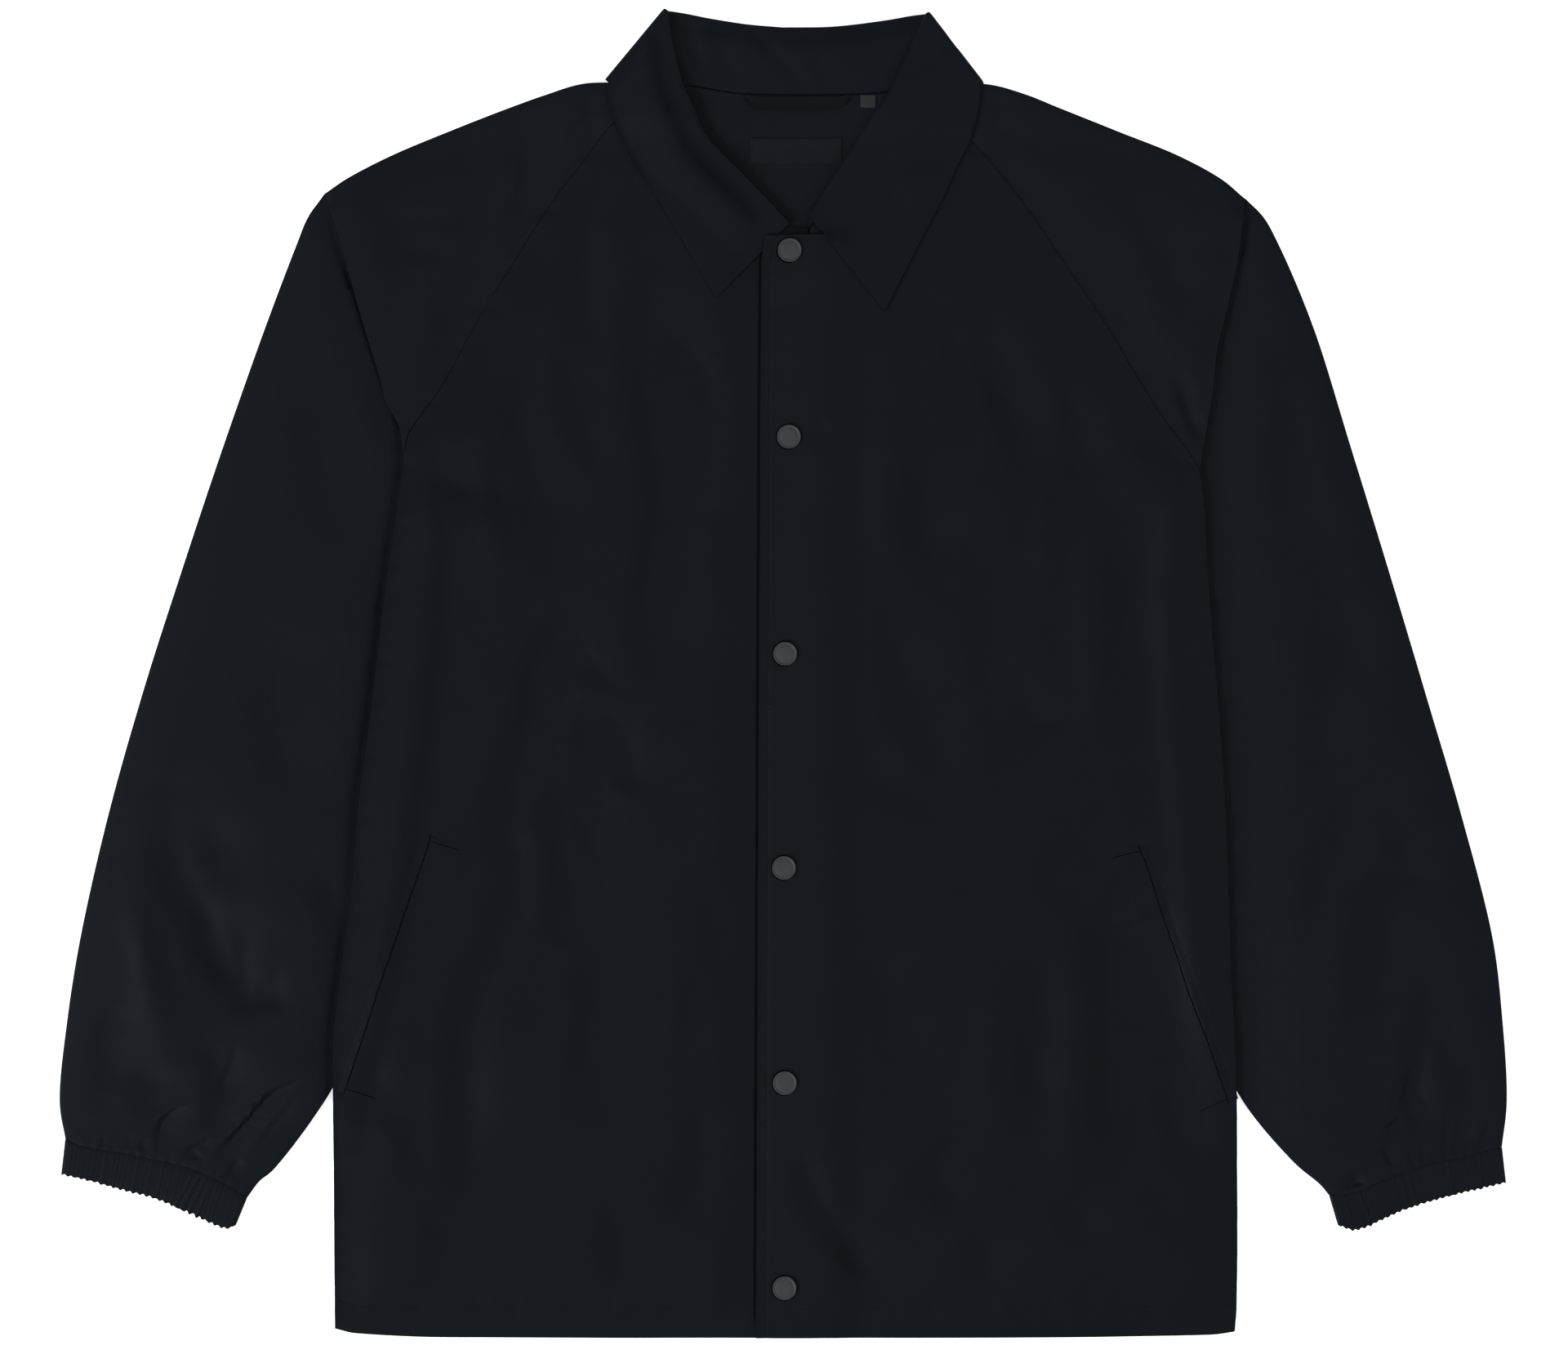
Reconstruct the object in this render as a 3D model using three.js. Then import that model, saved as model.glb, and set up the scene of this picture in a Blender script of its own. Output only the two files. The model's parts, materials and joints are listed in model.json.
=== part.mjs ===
// A snap-front jacket of thin plain-weave cloth, laid flat on a table with its front up.
// Millimetres: +X is the viewer's right, +Y runs towards the collar, +Z is up from the table.
// The origin is on the table, under the middle of the jacket's outline.
import * as THREE from "three";

// Driving sizes
const WALL = 1.2; // thickness of one layer of cloth
const GAP = 0.3; // air between two layers
const LAYER = WALL + GAP;
const SEAM = 0.6; // air between the edges of two pieces that a seam joins
const LOW = WALL / 2; // middle height of a sheet that lies on the table
const HIGH = LOW + LAYER; // middle height of a sheet that lies on another
const UNDER_SLEEVE = 2 * LAYER + GAP; // how far a sleeve lifts the side of the body over it
const TUCK_RISE = 3.5; // height of the shoulder's fold over the sleeve
const TUCK_LAP = 5; // how far the tuck's layers lie over each other
const SHOULDER_LOFT = 0.9;
const PUFF = 3; // loft of a sleeve's front over its back
const LOFT_LIMIT = 3.7; // no front stands further off its back than this
const SLEEVE_BACK_COLUMNS = 5;
const CUFF_GATHERS = 22;
const GATHER_RISE = 1.6;
const CAP = { radius: 7.4, height: 2.4, rim: 0.8, sides: 14 };
const CLOTH = { color: 0x171b1f, roughness: 0.82, metalness: 0 };
const CAP_PAINT = { color: 0x3b3d3f, roughness: 0.6, metalness: 0 };
const TAPE = { color: 0x1c1f22, roughness: 0.7, metalness: 0 };

// Short tables: a line of column names, then a row for each point or section
function table(names, rows) {
  const keys = names.split(" ");
  return rows.map((row) => Object.fromEntries(keys.map((key, i) => [key, row[i]])));
}

// Every x below is measured outwards from the centre front, on the wearer's right or left.
const HALVES = {
  right: {
    sign: -1,
    armpit: { x: 232, y: 134 },
    tip: { x: 280, y: 294 },
    raglan: table("y x", [
      [348, 84.5], [337, 104], [312, 123.5], [294, 138], [252, 165], [213, 189],
      [176, 209], [157, 222.5], [145, 230], [134, 232],
    ]),
    backRaglan: table("y x", [[360, 70], [340, 88], [300, 120], [250, 158], [200, 190], [134, 232]]),
    side: table("y x", [
      [134, 232], [117, 233.5], [92, 237.5], [42, 244.5], [-23, 252], [-78, 259.5],
      [-138, 264.5], [-193, 272], [-233, 275.5], [-343, 275], [-402, 274.5],
    ]),
    neck: table("y x", [[272, -3.5], [291, 33], [312, 60.5], [332, 73.5], [345, 79.5], [362, 80.5]]),
    shoulder: table("x y", [
      [82.5, 360.5], [121, 361], [145.5, 354], [165.5, 347], [204, 332], [239.5, 317], [268, 302],
      [280, 294],
    ]),
    outer: table("x y", [
      [280, 294], [290.5, 280], [298, 262], [317, 212], [343.5, 137], [368.5, 62], [392.5, -13],
      [413.5, -88], [430.5, -163], [438.5, -213], [443, -263], [439.5, -285],
    ]),
    under: table("x y", [
      [232.6, 133], [237.5, 112], [237.8, 97], [229, 66], [226, 40], [232, -23], [240, -88], [247, -138],
      [258, -198], [266, -230], [276, -254], [312.5, -304], [321, -311], [328.5, -321],
    ]),
    cuff: table("seamX seamY hemX hemY", [
      [328.5, -321, 335.5, -338], [340, -313.5, 341, -340], [361, -303.5, 364.5, -330],
      [387.5, -297, 387, -321], [404.5, -293.5, 404.5, -316.5], [430, -289, 424, -311],
      [439.5, -285, 442, -307],
    ]),
    frontEdge: table("y x", [[272.5, -15], [-406, -15]]),
    frontTop: 272.5,
  },
  left: {
    sign: 1,
    armpit: { x: 254.5, y: 125 },
    tip: { x: 282, y: 291 },
    raglan: table("y x", [
      [348, 91], [338, 104], [325, 116], [290, 145.5], [252, 171.5], [217, 195.5],
      [172, 222.5], [152, 235.5], [134, 249], [125, 254.5],
    ]),
    backRaglan: table("y x", [[358, 73], [340, 92], [300, 128], [250, 168], [200, 204], [125, 254.5]]),
    side: table("y x", [
      [125, 254.5], [102, 258], [62, 260], [12, 264], [-38, 268], [-88, 271], [-138, 273],
      [-188, 274.5], [-238, 277], [-343, 278], [-388, 277.5], [-404, 276.5],
    ]),
    neck: table("y x", [[271, 14.5], [295, 37], [317, 60.5], [332, 75.5], [343, 87], [362, 84.5]]),
    shoulder: table("x y", [
      [88, 360.5], [125, 360.5], [149.5, 354], [167, 347], [204.5, 332], [241.5, 317],
      [268.5, 302], [282, 291],
    ]),
    outer: table("x y", [
      [282, 291], [293.5, 280], [303.5, 262], [324.5, 212], [348, 137], [371, 62], [393.5, -13],
      [415.5, -88], [434.5, -163], [440.5, -213], [443, -263], [440, -290],
    ]),
    under: table("x y", [
      [255.1, 124], [260, 102], [257, 80], [248, 50], [244, 26], [246, -13], [250, -63], [254, -113],
      [259, -173], [267, -221], [278, -256], [312.5, -299], [329, -313], [334.5, -319.5],
    ]),
    cuff: table("seamX seamY hemX hemY", [
      [334.5, -319.5, 340, -338], [350, -318, 350, -341], [366, -311, 366, -335],
      [377, -306.5, 381.5, -328], [396, -300, 398, -323], [414.5, -296.5, 414.5, -318.5],
      [440, -290, 442.5, -312],
    ]),
    frontEdge: table("y x", [[268, -11.5], [250, -13], [12, -14.5], [-203, -15.5], [-406, -16.5]]),
    frontTop: 268,
  },
};

// The hem and the back neck, with x across the whole jacket
const HEM = table("x y", [
  [-275, -401], [-262, -404], [-210, -406.5], [-90, -407], [60, -407], [180, -406.5], [262, -405],
  [277, -403],
]);
const BACK_NECK = table("x y", [
  [-70, 360.2], [-54, 358.8], [-27, 354.6], [0, 353.4], [30, 353.4], [60, 355], [73, 357.8],
]);

// The collar's sections from the front end round to the side, and on to the centre back: roll line,
// edge of the fall, neck seam, and the radius of the roll.
const COLLAR = {
  right: {
    front: table("rollX rollY fallX fallY neckX neckY roll", [
      [-4, 276, 41, 229.5, -2.5, 273.5, 0.75], [20.5, 302, 56.5, 256, 32, 292, 2],
      [45.5, 328, 79.5, 295, 59.5, 313, 3.2], [55.5, 349, 95, 321, 72.5, 333, 3.4],
      [61, 361, 103, 338, 78.5, 346, 3.2], [67, 384, 108, 352, 79.5, 355, 2],
      [71, 405.4, 107, 362, 79.5, 363, 0.75],
    ]),
    back: table("rollX rollY fallX fallY neckX neckY", [
      [59.5, 403.6, 84.5, 353, 69.5, 361.6], [44.5, 400.6, 59.5, 349, 54.5, 360],
      [22, 397.1, 29.5, 345, 27, 355.6],
    ]),
  },
  left: {
    front: table("rollX rollY fallX fallY neckX neckY roll", [
      [16, 280, 62, 221.5, 15.5, 273, 0.75], [29.5, 302, 79.5, 256, 36.5, 296, 2],
      [45.5, 327, 98, 292, 59.5, 318, 3.2], [54.5, 341, 106, 310, 74.5, 333, 3.4],
      [65, 356, 114.5, 327, 86, 344, 3.2], [76.5, 380, 119.5, 347, 85.5, 354, 2],
      [87.5, 403.4, 121, 360, 83.5, 363, 0.75],
    ]),
    back: table("rollX rollY fallX fallY neckX neckY", [
      [78, 402.2, 95.5, 352, 73, 359.2], [60.5, 399.2, 68, 347, 60.5, 356.4],
      [30.5, 395.7, 33, 344.4, 30.5, 354.8],
    ]),
  },
  centre: table("rollX rollY fallX fallY neckX neckY", [[0, 395.2, 0, 344.2, 0, 354.8]])[0],
};

// The largest soft folds: both ends, half width and height. x runs outwards, as above.
const FOLDS = {
  right: table("x0 y0 x1 y1 half rise", [
    [122, 262, 118, 150, 26, 1.6], [92, 180, 84, 0, 30, 1.8], [155, 165, 160, 70, 26, 1.6],
    [118, 30, 158, -40, 24, 2], [160, -50, 178, -180, 28, 2.2], [176, -190, 206, -330, 28, 2.2],
    [228, 118, 165, 106, 20, 1.4], [120, -160, 130, -270, 26, 1.4],
  ]),
  left: table("x0 y0 x1 y1 half rise", [
    [76, 150, 86, 40, 24, 1.6], [116, 212, 146, 92, 26, 1.8], [172, 172, 182, 130, 22, 1.6],
    [206, 92, 211, -38, 30, 1.8], [188, -138, 194, -304, 26, 2.4], [150, -188, 148, -274, 24, 1.8],
    [10, -305, 48, -376, 20, 2.2], [76, 12, 100, -120, 30, 1.4],
  ]),
};
const SLEEVE_FOLDS = {
  right: table("x0 y0 x1 y1 half rise", [
    [388, -100, 352, -220, 22, 1.2], [330, 100, 352, -10, 30, 1], [356, -300, 310, -262, 16, 1.6],
    [330, -302, 284, -248, 14, 1.4],
  ]),
  left: table("x0 y0 x1 y1 half rise", [
    [370, -150, 356, -218, 22, 1.2], [336, 90, 356, -20, 30, 1], [390, -210, 382, -275, 18, 1.4],
    [415, -236, 410, -284, 18, 1.2], [352, -312, 318, -270, 14, 1.6],
  ]),
};

const CAPS = table("x y", [[4, 258.8], [3.5, 144.8], [1.2, 12], [0.5, -119], [1, -250.6], [0.8, -376]]);
// A welt: the ends of its opening, and of the row of stitches on its inner side
const WELTS = {
  right: table("x y innerX innerY", [[215.5, -99.8, 194.5, -106.3], [268.5, -257, 248, -264]]),
  left: table("x y innerX innerY", [[217.5, -105.8, 197, -110.8], [272.5, -263, 254, -272]]),
};
const LOOP = table("x y width", [
  [-22.5, 351.4, 3], [-17, 349.6, 6.6], [-6, 348.9, 8.2], [10, 348.7, 8.4], [26, 348.9, 8.2],
  [36, 350.2, 6],
]);
const NECK_LABEL = { x0: -20, x1: 36, y0: 312.5, y1: 328 };
const SIZE_LABEL = { x0: 47.5, x1: 56.5, y0: 346.5, y1: 354 };

// Plain functions of one number
const mix = (a, b, t) => a + (b - a) * t;
const steps = (count) => Array.from({ length: count + 1 }, (_, i) => i / count);

function smooth(from, to, value) {
  const t = Math.min(1, Math.max(0, (value - from) / (to - from)));
  return t * t * (3 - 2 * t);
}

// A curve through a table's rows that never swings past them
function curve(rows, xKey, yKey) {
  const sorted = [...rows].sort((a, b) => a[xKey] - b[xKey]);
  const x = sorted.map((row) => row[xKey]);
  const y = sorted.map((row) => row[yKey]);
  const slope = x.slice(1).map((value, i) => (y[i + 1] - y[i]) / (value - x[i]));
  const tangent = x.map((_, i) => {
    if (i === 0) return slope[0];
    if (i === x.length - 1) return slope[i - 1];
    const product = slope[i - 1] * slope[i];
    return product > 0 ? (2 * product) / (slope[i - 1] + slope[i]) : 0;
  });
  return (value) => {
    if (value <= x[0]) return y[0];
    const i = Math.min(x.length - 2, x.filter((limit) => limit <= value).length - 1);
    if (value >= x[i + 1]) return y[i + 1];
    const width = x[i + 1] - x[i];
    const t = (value - x[i]) / width;
    const rise = t * t * (3 - 2 * t);
    const bend = width * t * (1 - t) * (tangent[i] * (1 - t) - tangent[i + 1] * t);
    return mix(y[i], y[i + 1], rise) + bend;
  };
}

// A smooth path in plan, read by the share of its length or by the number of its rows
function path(rows, xKey = "x", yKey = "y") {
  const points = rows.map((row) => new THREE.Vector3(row[xKey], row[yKey], 0));
  return new THREE.CatmullRomCurve3(points, false, "centripetal");
}

function distanceToLine(x, y, a, b) {
  const dx = b.x - a.x;
  const dy = b.y - a.y;
  const t = Math.min(1, Math.max(0, ((x - a.x) * dx + (y - a.y) * dy) / (dx * dx + dy * dy)));
  return Math.hypot(x - a.x - dx * t, y - a.y - dy * t);
}

for (const half of Object.values(HALVES)) {
  half.raglanAt = curve(half.raglan, "y", "x");
  half.backRaglanAt = curve(half.backRaglan, "y", "x");
  half.sideAt = curve(half.side, "y", "x");
  half.neckAt = curve(half.neck, "y", "x");
  half.edgeAt = curve(half.frontEdge, "y", "x");
  half.underAt = curve(half.under, "y", "x");
}
const hemAt = curve(HEM, "x", "y");
const backNeckAt = curve(BACK_NECK, "x", "y");

// Heights. The fall of the collar lies under the back at the neck and lifts everything there.
function neckLift(x, y) {
  return LAYER * smooth(322, 342, y) * (1 - smooth(132, 165, Math.abs(x)));
}

// The sleeve runs a little way under the body's side and lifts its edge.
function sideLift(half, x, y) {
  const along = smooth(half.armpit.y, half.armpit.y - 22, y) * smooth(-306, -266, y);
  if (along === 0) return 0;
  const covered = Math.max(0, half.sideAt(y) - half.underAt(y));
  const inwards = half.sideAt(y) - x;
  return UNDER_SLEEVE * along * (1 - smooth(covered + 6, covered + 23, inwards));
}

// The shoulder rises towards the tuck, where it folds over the sleeve.
function tuckLift(half, x, y) {
  return TUCK_RISE * (1 - smooth(0, 75, distanceToLine(x, y, half.armpit, half.tip)));
}

function foldLift(folds, x, y) {
  const heights = folds.map((fold) => {
    const a = { x: fold.x0, y: fold.y0 };
    const b = { x: fold.x1, y: fold.y1 };
    return fold.rise * (1 - smooth(0, fold.half, distanceToLine(x, y, a, b)));
  });
  return Math.max(...heights);
}

// The upper front lies on the under front at the centre, and its corner on the collar's end.
function lapLift(x, y) {
  const corner = 1 - smooth(20, 40, Math.hypot(x + 4, y - 263));
  return LAYER * (1 - smooth(28, 48, x)) + (LAYER + GAP) * corner;
}

function frontHeight(name, x, y) {
  const half = HALVES[name];
  const lifted = Math.max(sideLift(half, x, y), tuckLift(half, x, y), foldLift(FOLDS[name], x, y));
  const lap = name === "left" ? lapLift(x, y) : 0;
  return HIGH + neckLift(x, y) + lifted + lap;
}

// A closed wall of cloth around a grid of points on its middle surface
function wall(grid, thickness = WALL) {
  const rows = grid.length;
  const columns = grid[0].length;
  const layers = [[], []];
  grid.forEach((row, i) => {
    row.forEach((point, j) => {
      const along = new THREE.Vector3().subVectors(
        grid[Math.min(rows - 1, i + 1)][j], grid[Math.max(0, i - 1)][j]);
      const across = new THREE.Vector3().subVectors(
        row[Math.min(columns - 1, j + 1)], row[Math.max(0, j - 1)]);
      const normal = along.cross(across).normalize();
      layers[0].push(point.clone().addScaledVector(normal, thickness / 2));
      layers[1].push(point.clone().addScaledVector(normal, -thickness / 2));
    });
  });
  const count = rows * columns;
  const at = (layer, i, j) => layer * count + i * columns + j;
  const index = [];
  const quad = (a, b, c, d) => index.push(a, b, c, a, c, d);
  for (let i = 0; i < rows - 1; i += 1) {
    for (let j = 0; j < columns - 1; j += 1) {
      quad(at(0, i, j), at(0, i + 1, j), at(0, i + 1, j + 1), at(0, i, j + 1));
      quad(at(1, i, j), at(1, i, j + 1), at(1, i + 1, j + 1), at(1, i + 1, j));
    }
  }
  for (let i = 0; i < rows - 1; i += 1) {
    quad(at(0, i + 1, 0), at(0, i, 0), at(1, i, 0), at(1, i + 1, 0));
    quad(at(0, i, columns - 1), at(0, i + 1, columns - 1), at(1, i + 1, columns - 1), at(1, i, columns - 1));
  }
  for (let j = 0; j < columns - 1; j += 1) {
    quad(at(0, 0, j), at(0, 0, j + 1), at(1, 0, j + 1), at(1, 0, j));
    quad(at(0, rows - 1, j + 1), at(0, rows - 1, j), at(1, rows - 1, j), at(1, rows - 1, j + 1));
  }
  const points = [...layers[0], ...layers[1]];
  const geometry = new THREE.BufferGeometry();
  geometry.setAttribute("position", new THREE.Float32BufferAttribute(points.flatMap((p) => [p.x, p.y, p.z]), 3));
  geometry.setIndex(facingOut(points, index));
  geometry.computeVertexNormals();
  return geometry;
}

// Turns the triangles round where they enclose a negative volume
function facingOut(points, index) {
  let volume = 0;
  for (let i = 0; i < index.length; i += 3) {
    const [a, b, c] = [points[index[i]], points[index[i + 1]], points[index[i + 2]]];
    volume += a.dot(new THREE.Vector3().crossVectors(b, c));
  }
  if (volume > 0) return index;
  const turned = [];
  for (let i = 0; i < index.length; i += 3) {
    turned.push(index[i], index[i + 2], index[i + 1]);
  }
  return turned;
}

const jacket = new THREE.Group();

function add(name, geometry, paint = CLOTH) {
  const mesh = new THREE.Mesh(geometry, new THREE.MeshStandardMaterial(paint));
  mesh.name = name;
  jacket.add(mesh);
  return mesh;
}

// The height of a grid's middle surface over one place in plan
function surfaceAt(grid, x, y) {
  for (let i = 0; i < grid.length - 1; i += 1) {
    for (let j = 0; j < grid[i].length - 1; j += 1) {
      const corners = [grid[i][j], grid[i + 1][j], grid[i + 1][j + 1], grid[i][j + 1]];
      for (const [a, b, c] of [[0, 1, 2], [0, 2, 3]]) {
        const [p, q, r] = [corners[a], corners[b], corners[c]];
        const area = (q.x - p.x) * (r.y - p.y) - (r.x - p.x) * (q.y - p.y);
        const s = ((x - p.x) * (r.y - p.y) - (r.x - p.x) * (y - p.y)) / area;
        const t = ((q.x - p.x) * (y - p.y) - (x - p.x) * (q.y - p.y)) / area;
        if (s >= 0 && t >= 0 && s + t <= 1) return p.z + s * (q.z - p.z) + t * (r.z - p.z);
      }
    }
  }
  throw new Error(`nothing lies at ${x}, ${y}`);
}

// Body panels share their rows and their columns near the side, so that they stay parallel.
const HEM_LEVEL = -404;
const LEVELS = [
  ...steps(19).map((share) => mix(HEM_LEVEL, 125, share)),
  134, 160, 187, 214, 241, 268, 272.5, 273.5, 290, 306, 322, 335, 347.5,
];
const FROM_SIDE = [0, 12, 25, 42];

// The back panel, cut whole
function backGrid() {
  const { right, left } = HALVES;
  const rows = [...LEVELS, 353];
  const edge = (half, y) => (y >= half.armpit.y ? half.backRaglanAt(y) - SEAM : half.sideAt(y));
  return rows.map((level, i) => {
    const end = i === rows.length - 1 ? right.backRaglan[0].y : level;
    const ends = [-edge(right, end), edge(left, end)];
    const room = Math.min(1, (ends[1] - ends[0]) / 200);
    const fromSide = FROM_SIDE.map((step) => step * room);
    const inner = [ends[0] + fromSide.at(-1), ends[1] - fromSide.at(-1)];
    const columns = [
      ...fromSide.map((step) => ends[0] + step),
      ...steps(5).slice(1, -1).map((share) => mix(inner[0], inner[1], share)),
      ...fromSide.map((step) => ends[1] - step).reverse(),
    ];
    return columns.map((x) => {
      let y = level;
      if (i === 0) y = hemAt(x);
      if (i === rows.length - 1) y = backNeckAt(x);
      const lift = Math.max(sideLift(right, -x, y), sideLift(left, x, y));
      return new THREE.Vector3(x, y, LOW + lift + neckLift(x, y));
    });
  });
}

// A front: hem, side and raglan seam outside, snap edge and neckline inside
function frontGrid(name) {
  const half = HALVES[name];
  return LEVELS.map((level, i) => {
    const inner = level <= half.frontTop ? half.edgeAt(level) : half.neckAt(level) + 3 * SEAM;
    const outer = level >= half.armpit.y ? half.raglanAt(level) - SEAM / 2 : half.sideAt(level);
    const room = Math.min(1, (outer - inner) / 120);
    const fromSide = FROM_SIDE.map((step) => step * room);
    const columns = [
      ...steps(12).slice(0, -1).map((share) => mix(inner, outer - fromSide.at(-1), share)),
      ...fromSide.map((step) => outer - step).reverse(),
    ];
    if (half.sign < 0) columns.reverse();
    return columns.map((x) => {
      const y = i === 0 ? hemAt(half.sign * x) : level;
      return new THREE.Vector3(half.sign * x, y, frontHeight(name, x, y));
    });
  });
}

// A row of a sleeve from its inner end to its outer end, moved in plan and set to a height
function sleeveRow(half, inner, outer, columns, height, shift = { x: 0, y: 0 }) {
  return steps(columns).map((share) => {
    const x = mix(inner.x, outer.x, share) + shift.x;
    const y = mix(inner.y, outer.y, share) + shift.y;
    return new THREE.Vector3(half.sign * x, y, height(x, y, share));
  });
}

// The tuck, seen along the fold: steps towards the sleeve, and heights over the lower layer
const TUCK = table("out rise", [
  [-0.15, TUCK_RISE - 0.5], [-0.15, TUCK_RISE - 1.5], [-1, LAYER], [-TUCK_LAP, LAYER],
  [-TUCK_LAP - 0.65, LAYER - 0.4], [-TUCK_LAP - 0.65, 0.4], [-TUCK_LAP, 0], [3, 0],
]);

// The cuff seam bows away from a straight line between its ends.
function cuffBow(half, share) {
  const seam = path(half.cuff, "seamX", "seamY");
  const point = seam.getPointAt(share);
  const [start, end] = [seam.getPointAt(0), seam.getPointAt(1)];
  return { x: point.x - mix(start.x, end.x, share), y: point.y - mix(start.y, end.y, share) };
}

function sleeveFrontGrid(name) {
  const half = HALVES[name];
  const columns = 12;
  const shoulder = path(half.shoulder);
  const outer = path(half.outer);
  const under = path(half.under);
  const grid = [];
  const levels = LEVELS.filter((level) => level >= half.armpit.y).reverse();
  levels.forEach((y, i) => {
    const inner = { x: half.raglanAt(y) + SEAM / 2, y };
    const height = (px, py, across) => HIGH + neckLift(px, py) + tuckLift(half, px, py)
      + SHOULDER_LOFT * Math.sin(Math.PI * across) * (1 - smooth(290, 325, py));
    const end = shoulder.getPointAt(i / (levels.length - 1));
    grid.push(sleeveRow(half, inner, end, columns, height));
  });
  const start = { x: half.armpit.x + SEAM / 2, y: half.armpit.y };
  const length = Math.hypot(half.tip.x - start.x, half.tip.y - start.y);
  const away = { x: (half.tip.y - start.y) / length, y: (start.x - half.tip.x) / length };
  for (const step of TUCK) {
    const shift = { x: away.x * step.out, y: away.y * step.out };
    grid.push(sleeveRow(half, start, half.tip, columns, () => HIGH + step.rise, shift));
  }
  const rows = 24;
  for (const share of steps(rows).slice(1)) {
    const inner = under.getPointAt(share);
    const end = outer.getPointAt(share);
    const width = Math.hypot(end.x - inner.x, end.y - inner.y);
    const height = (x, y, across) => {
      const beside = smooth(12, 46, x - half.sideAt(y));
      const start = mix(beside, smooth(0, 30, across * width), smooth(-255, -285, y));
      const puff = PUFF * smooth(0, 0.25, share) * start * (1 - smooth(0.72, 1, across) * 0.9);
      const fold = foldLift(SLEEVE_FOLDS[name], x, y) * start;
      return HIGH + Math.min(LOFT_LIMIT, puff + fold);
    };
    const row = sleeveRow(half, inner, end, columns, height);
    const bow = smooth(0.88, 1, share);
    row.forEach((point, j) => {
      const move = cuffBow(half, j / columns);
      point.x += half.sign * move.x * bow;
      point.y += move.y * bow;
    });
    grid.push(row);
  }
  return grid;
}

function sleeveBackGrid(name) {
  const half = HALVES[name];
  const columns = SLEEVE_BACK_COLUMNS;
  const shoulder = path(half.shoulder);
  const outer = path(half.outer);
  const under = path(half.under);
  const height = (x, y) => LOW + neckLift(x, y);
  const levels = [half.backRaglan[0].y, ...LEVELS.filter((level) => level >= half.armpit.y).reverse()];
  const grid = levels.map((y, i) => {
    const inner = { x: half.backRaglanAt(y) + SEAM / 2, y };
    return sleeveRow(half, inner, shoulder.getPointAt(i / (levels.length - 1)), columns, height);
  });
  for (const share of steps(16).slice(1)) {
    const row = sleeveRow(half, under.getPointAt(share), outer.getPointAt(share), columns, height);
    const bow = smooth(0.88, 1, share);
    row.forEach((point, j) => {
      const move = cuffBow(half, j / columns);
      point.x += half.sign * move.x * bow;
      point.y += move.y * bow;
    });
    grid.push(row);
  }
  return grid;
}

// A cuff: an elastic casing, gathered on its upper half
function cuffGrid(name, gathered) {
  const half = HALVES[name];
  const seam = path(half.cuff, "seamX", "seamY");
  const hem = path(half.cuff, "hemX", "hemY");
  const columns = gathered ? 2 * CUFF_GATHERS : SLEEVE_BACK_COLUMNS;
  const rows = gathered ? 2 : 1;
  return steps(rows).map((down) =>
    steps(columns).map((share, j) => {
      const start = seam.getPointAt(share);
      const end = hem.getPointAt(share);
      const t = mix(SEAM / 22, 1, down);
      const rise = gathered ? 0.4 + GATHER_RISE * (j % 2) : 0;
      const height = (gathered ? HIGH : LOW) + rise;
      return new THREE.Vector3(half.sign * mix(start.x, end.x, t), mix(start.y, end.y, t), height);
    }));
}

// The collar: one strip, with its stand and its fall turned over at the roll line
const FALL_AT = [0, 0.3, 0.6, 0.85];
const ROLL_AT = [90, 130, 180, 230, 270];
const STAND_AT = [0.45, 1];
const FALL_HEIGHT = 1.5 * LAYER;
const STAND_HEIGHT = 0.5 * LAYER;
const RING_HEIGHT = LOW + LAYER / 2;

function collarSection(section, sign, facing, extra) {
  const roll = { x: section.rollX, y: section.rollY };
  const fall = { x: section.fallX - roll.x, y: section.fallY - roll.y };
  const stand = { x: section.neckX - roll.x, y: section.neckY - roll.y };
  const depth = Math.hypot(fall.x, fall.y);
  const height = Math.hypot(stand.x, stand.y);
  const radius = section.roll;
  const crown = STAND_HEIGHT + 2 * radius;
  const out = { x: -fall.y / depth, y: fall.x / depth };
  const place = (dx, dy, lift) => {
    const x = roll.x + dx + out.x * facing.out * lift;
    const y = roll.y + dy + out.y * facing.out * lift;
    const z = RING_HEIGHT + facing.up * lift + neckLift(x, y) + extra(x, y);
    return new THREE.Vector3(sign * x, y, z);
  };
  const points = FALL_AT.map((share) => {
    const t = mix(1, radius / depth, share);
    return place(fall.x * t, fall.y * t, mix(FALL_HEIGHT, crown, smooth(0, 1, share)));
  });
  for (const degrees of ROLL_AT) {
    const angle = THREE.MathUtils.degToRad(degrees);
    const inwards = radius * (1 + Math.cos(angle));
    const turn = (degrees - 90) / 180;
    const dx = mix(fall.x / depth, stand.x / height, turn) * inwards;
    const dy = mix(fall.y / depth, stand.y / height, turn) * inwards;
    points.push(place(dx, dy, STAND_HEIGHT + radius * (1 + Math.sin(angle))));
  }
  for (const share of STAND_AT) {
    const t = mix(radius / height, 1, share);
    points.push(place(stand.x * t, stand.y * t, STAND_HEIGHT));
  }
  return points;
}

// Sections between a table's rows
function between(rows, count) {
  const keys = Object.keys(rows[0]);
  const curves = keys.map((key) => new THREE.CatmullRomCurve3(
    rows.map((row, i) => new THREE.Vector3(i, row[key], 0)), false, "catmullrom", 0.5));
  return steps(count).map((share) => Object.fromEntries(
    keys.map((key, i) => [key, curves[i].getPoint(share).y])));
}

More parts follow.
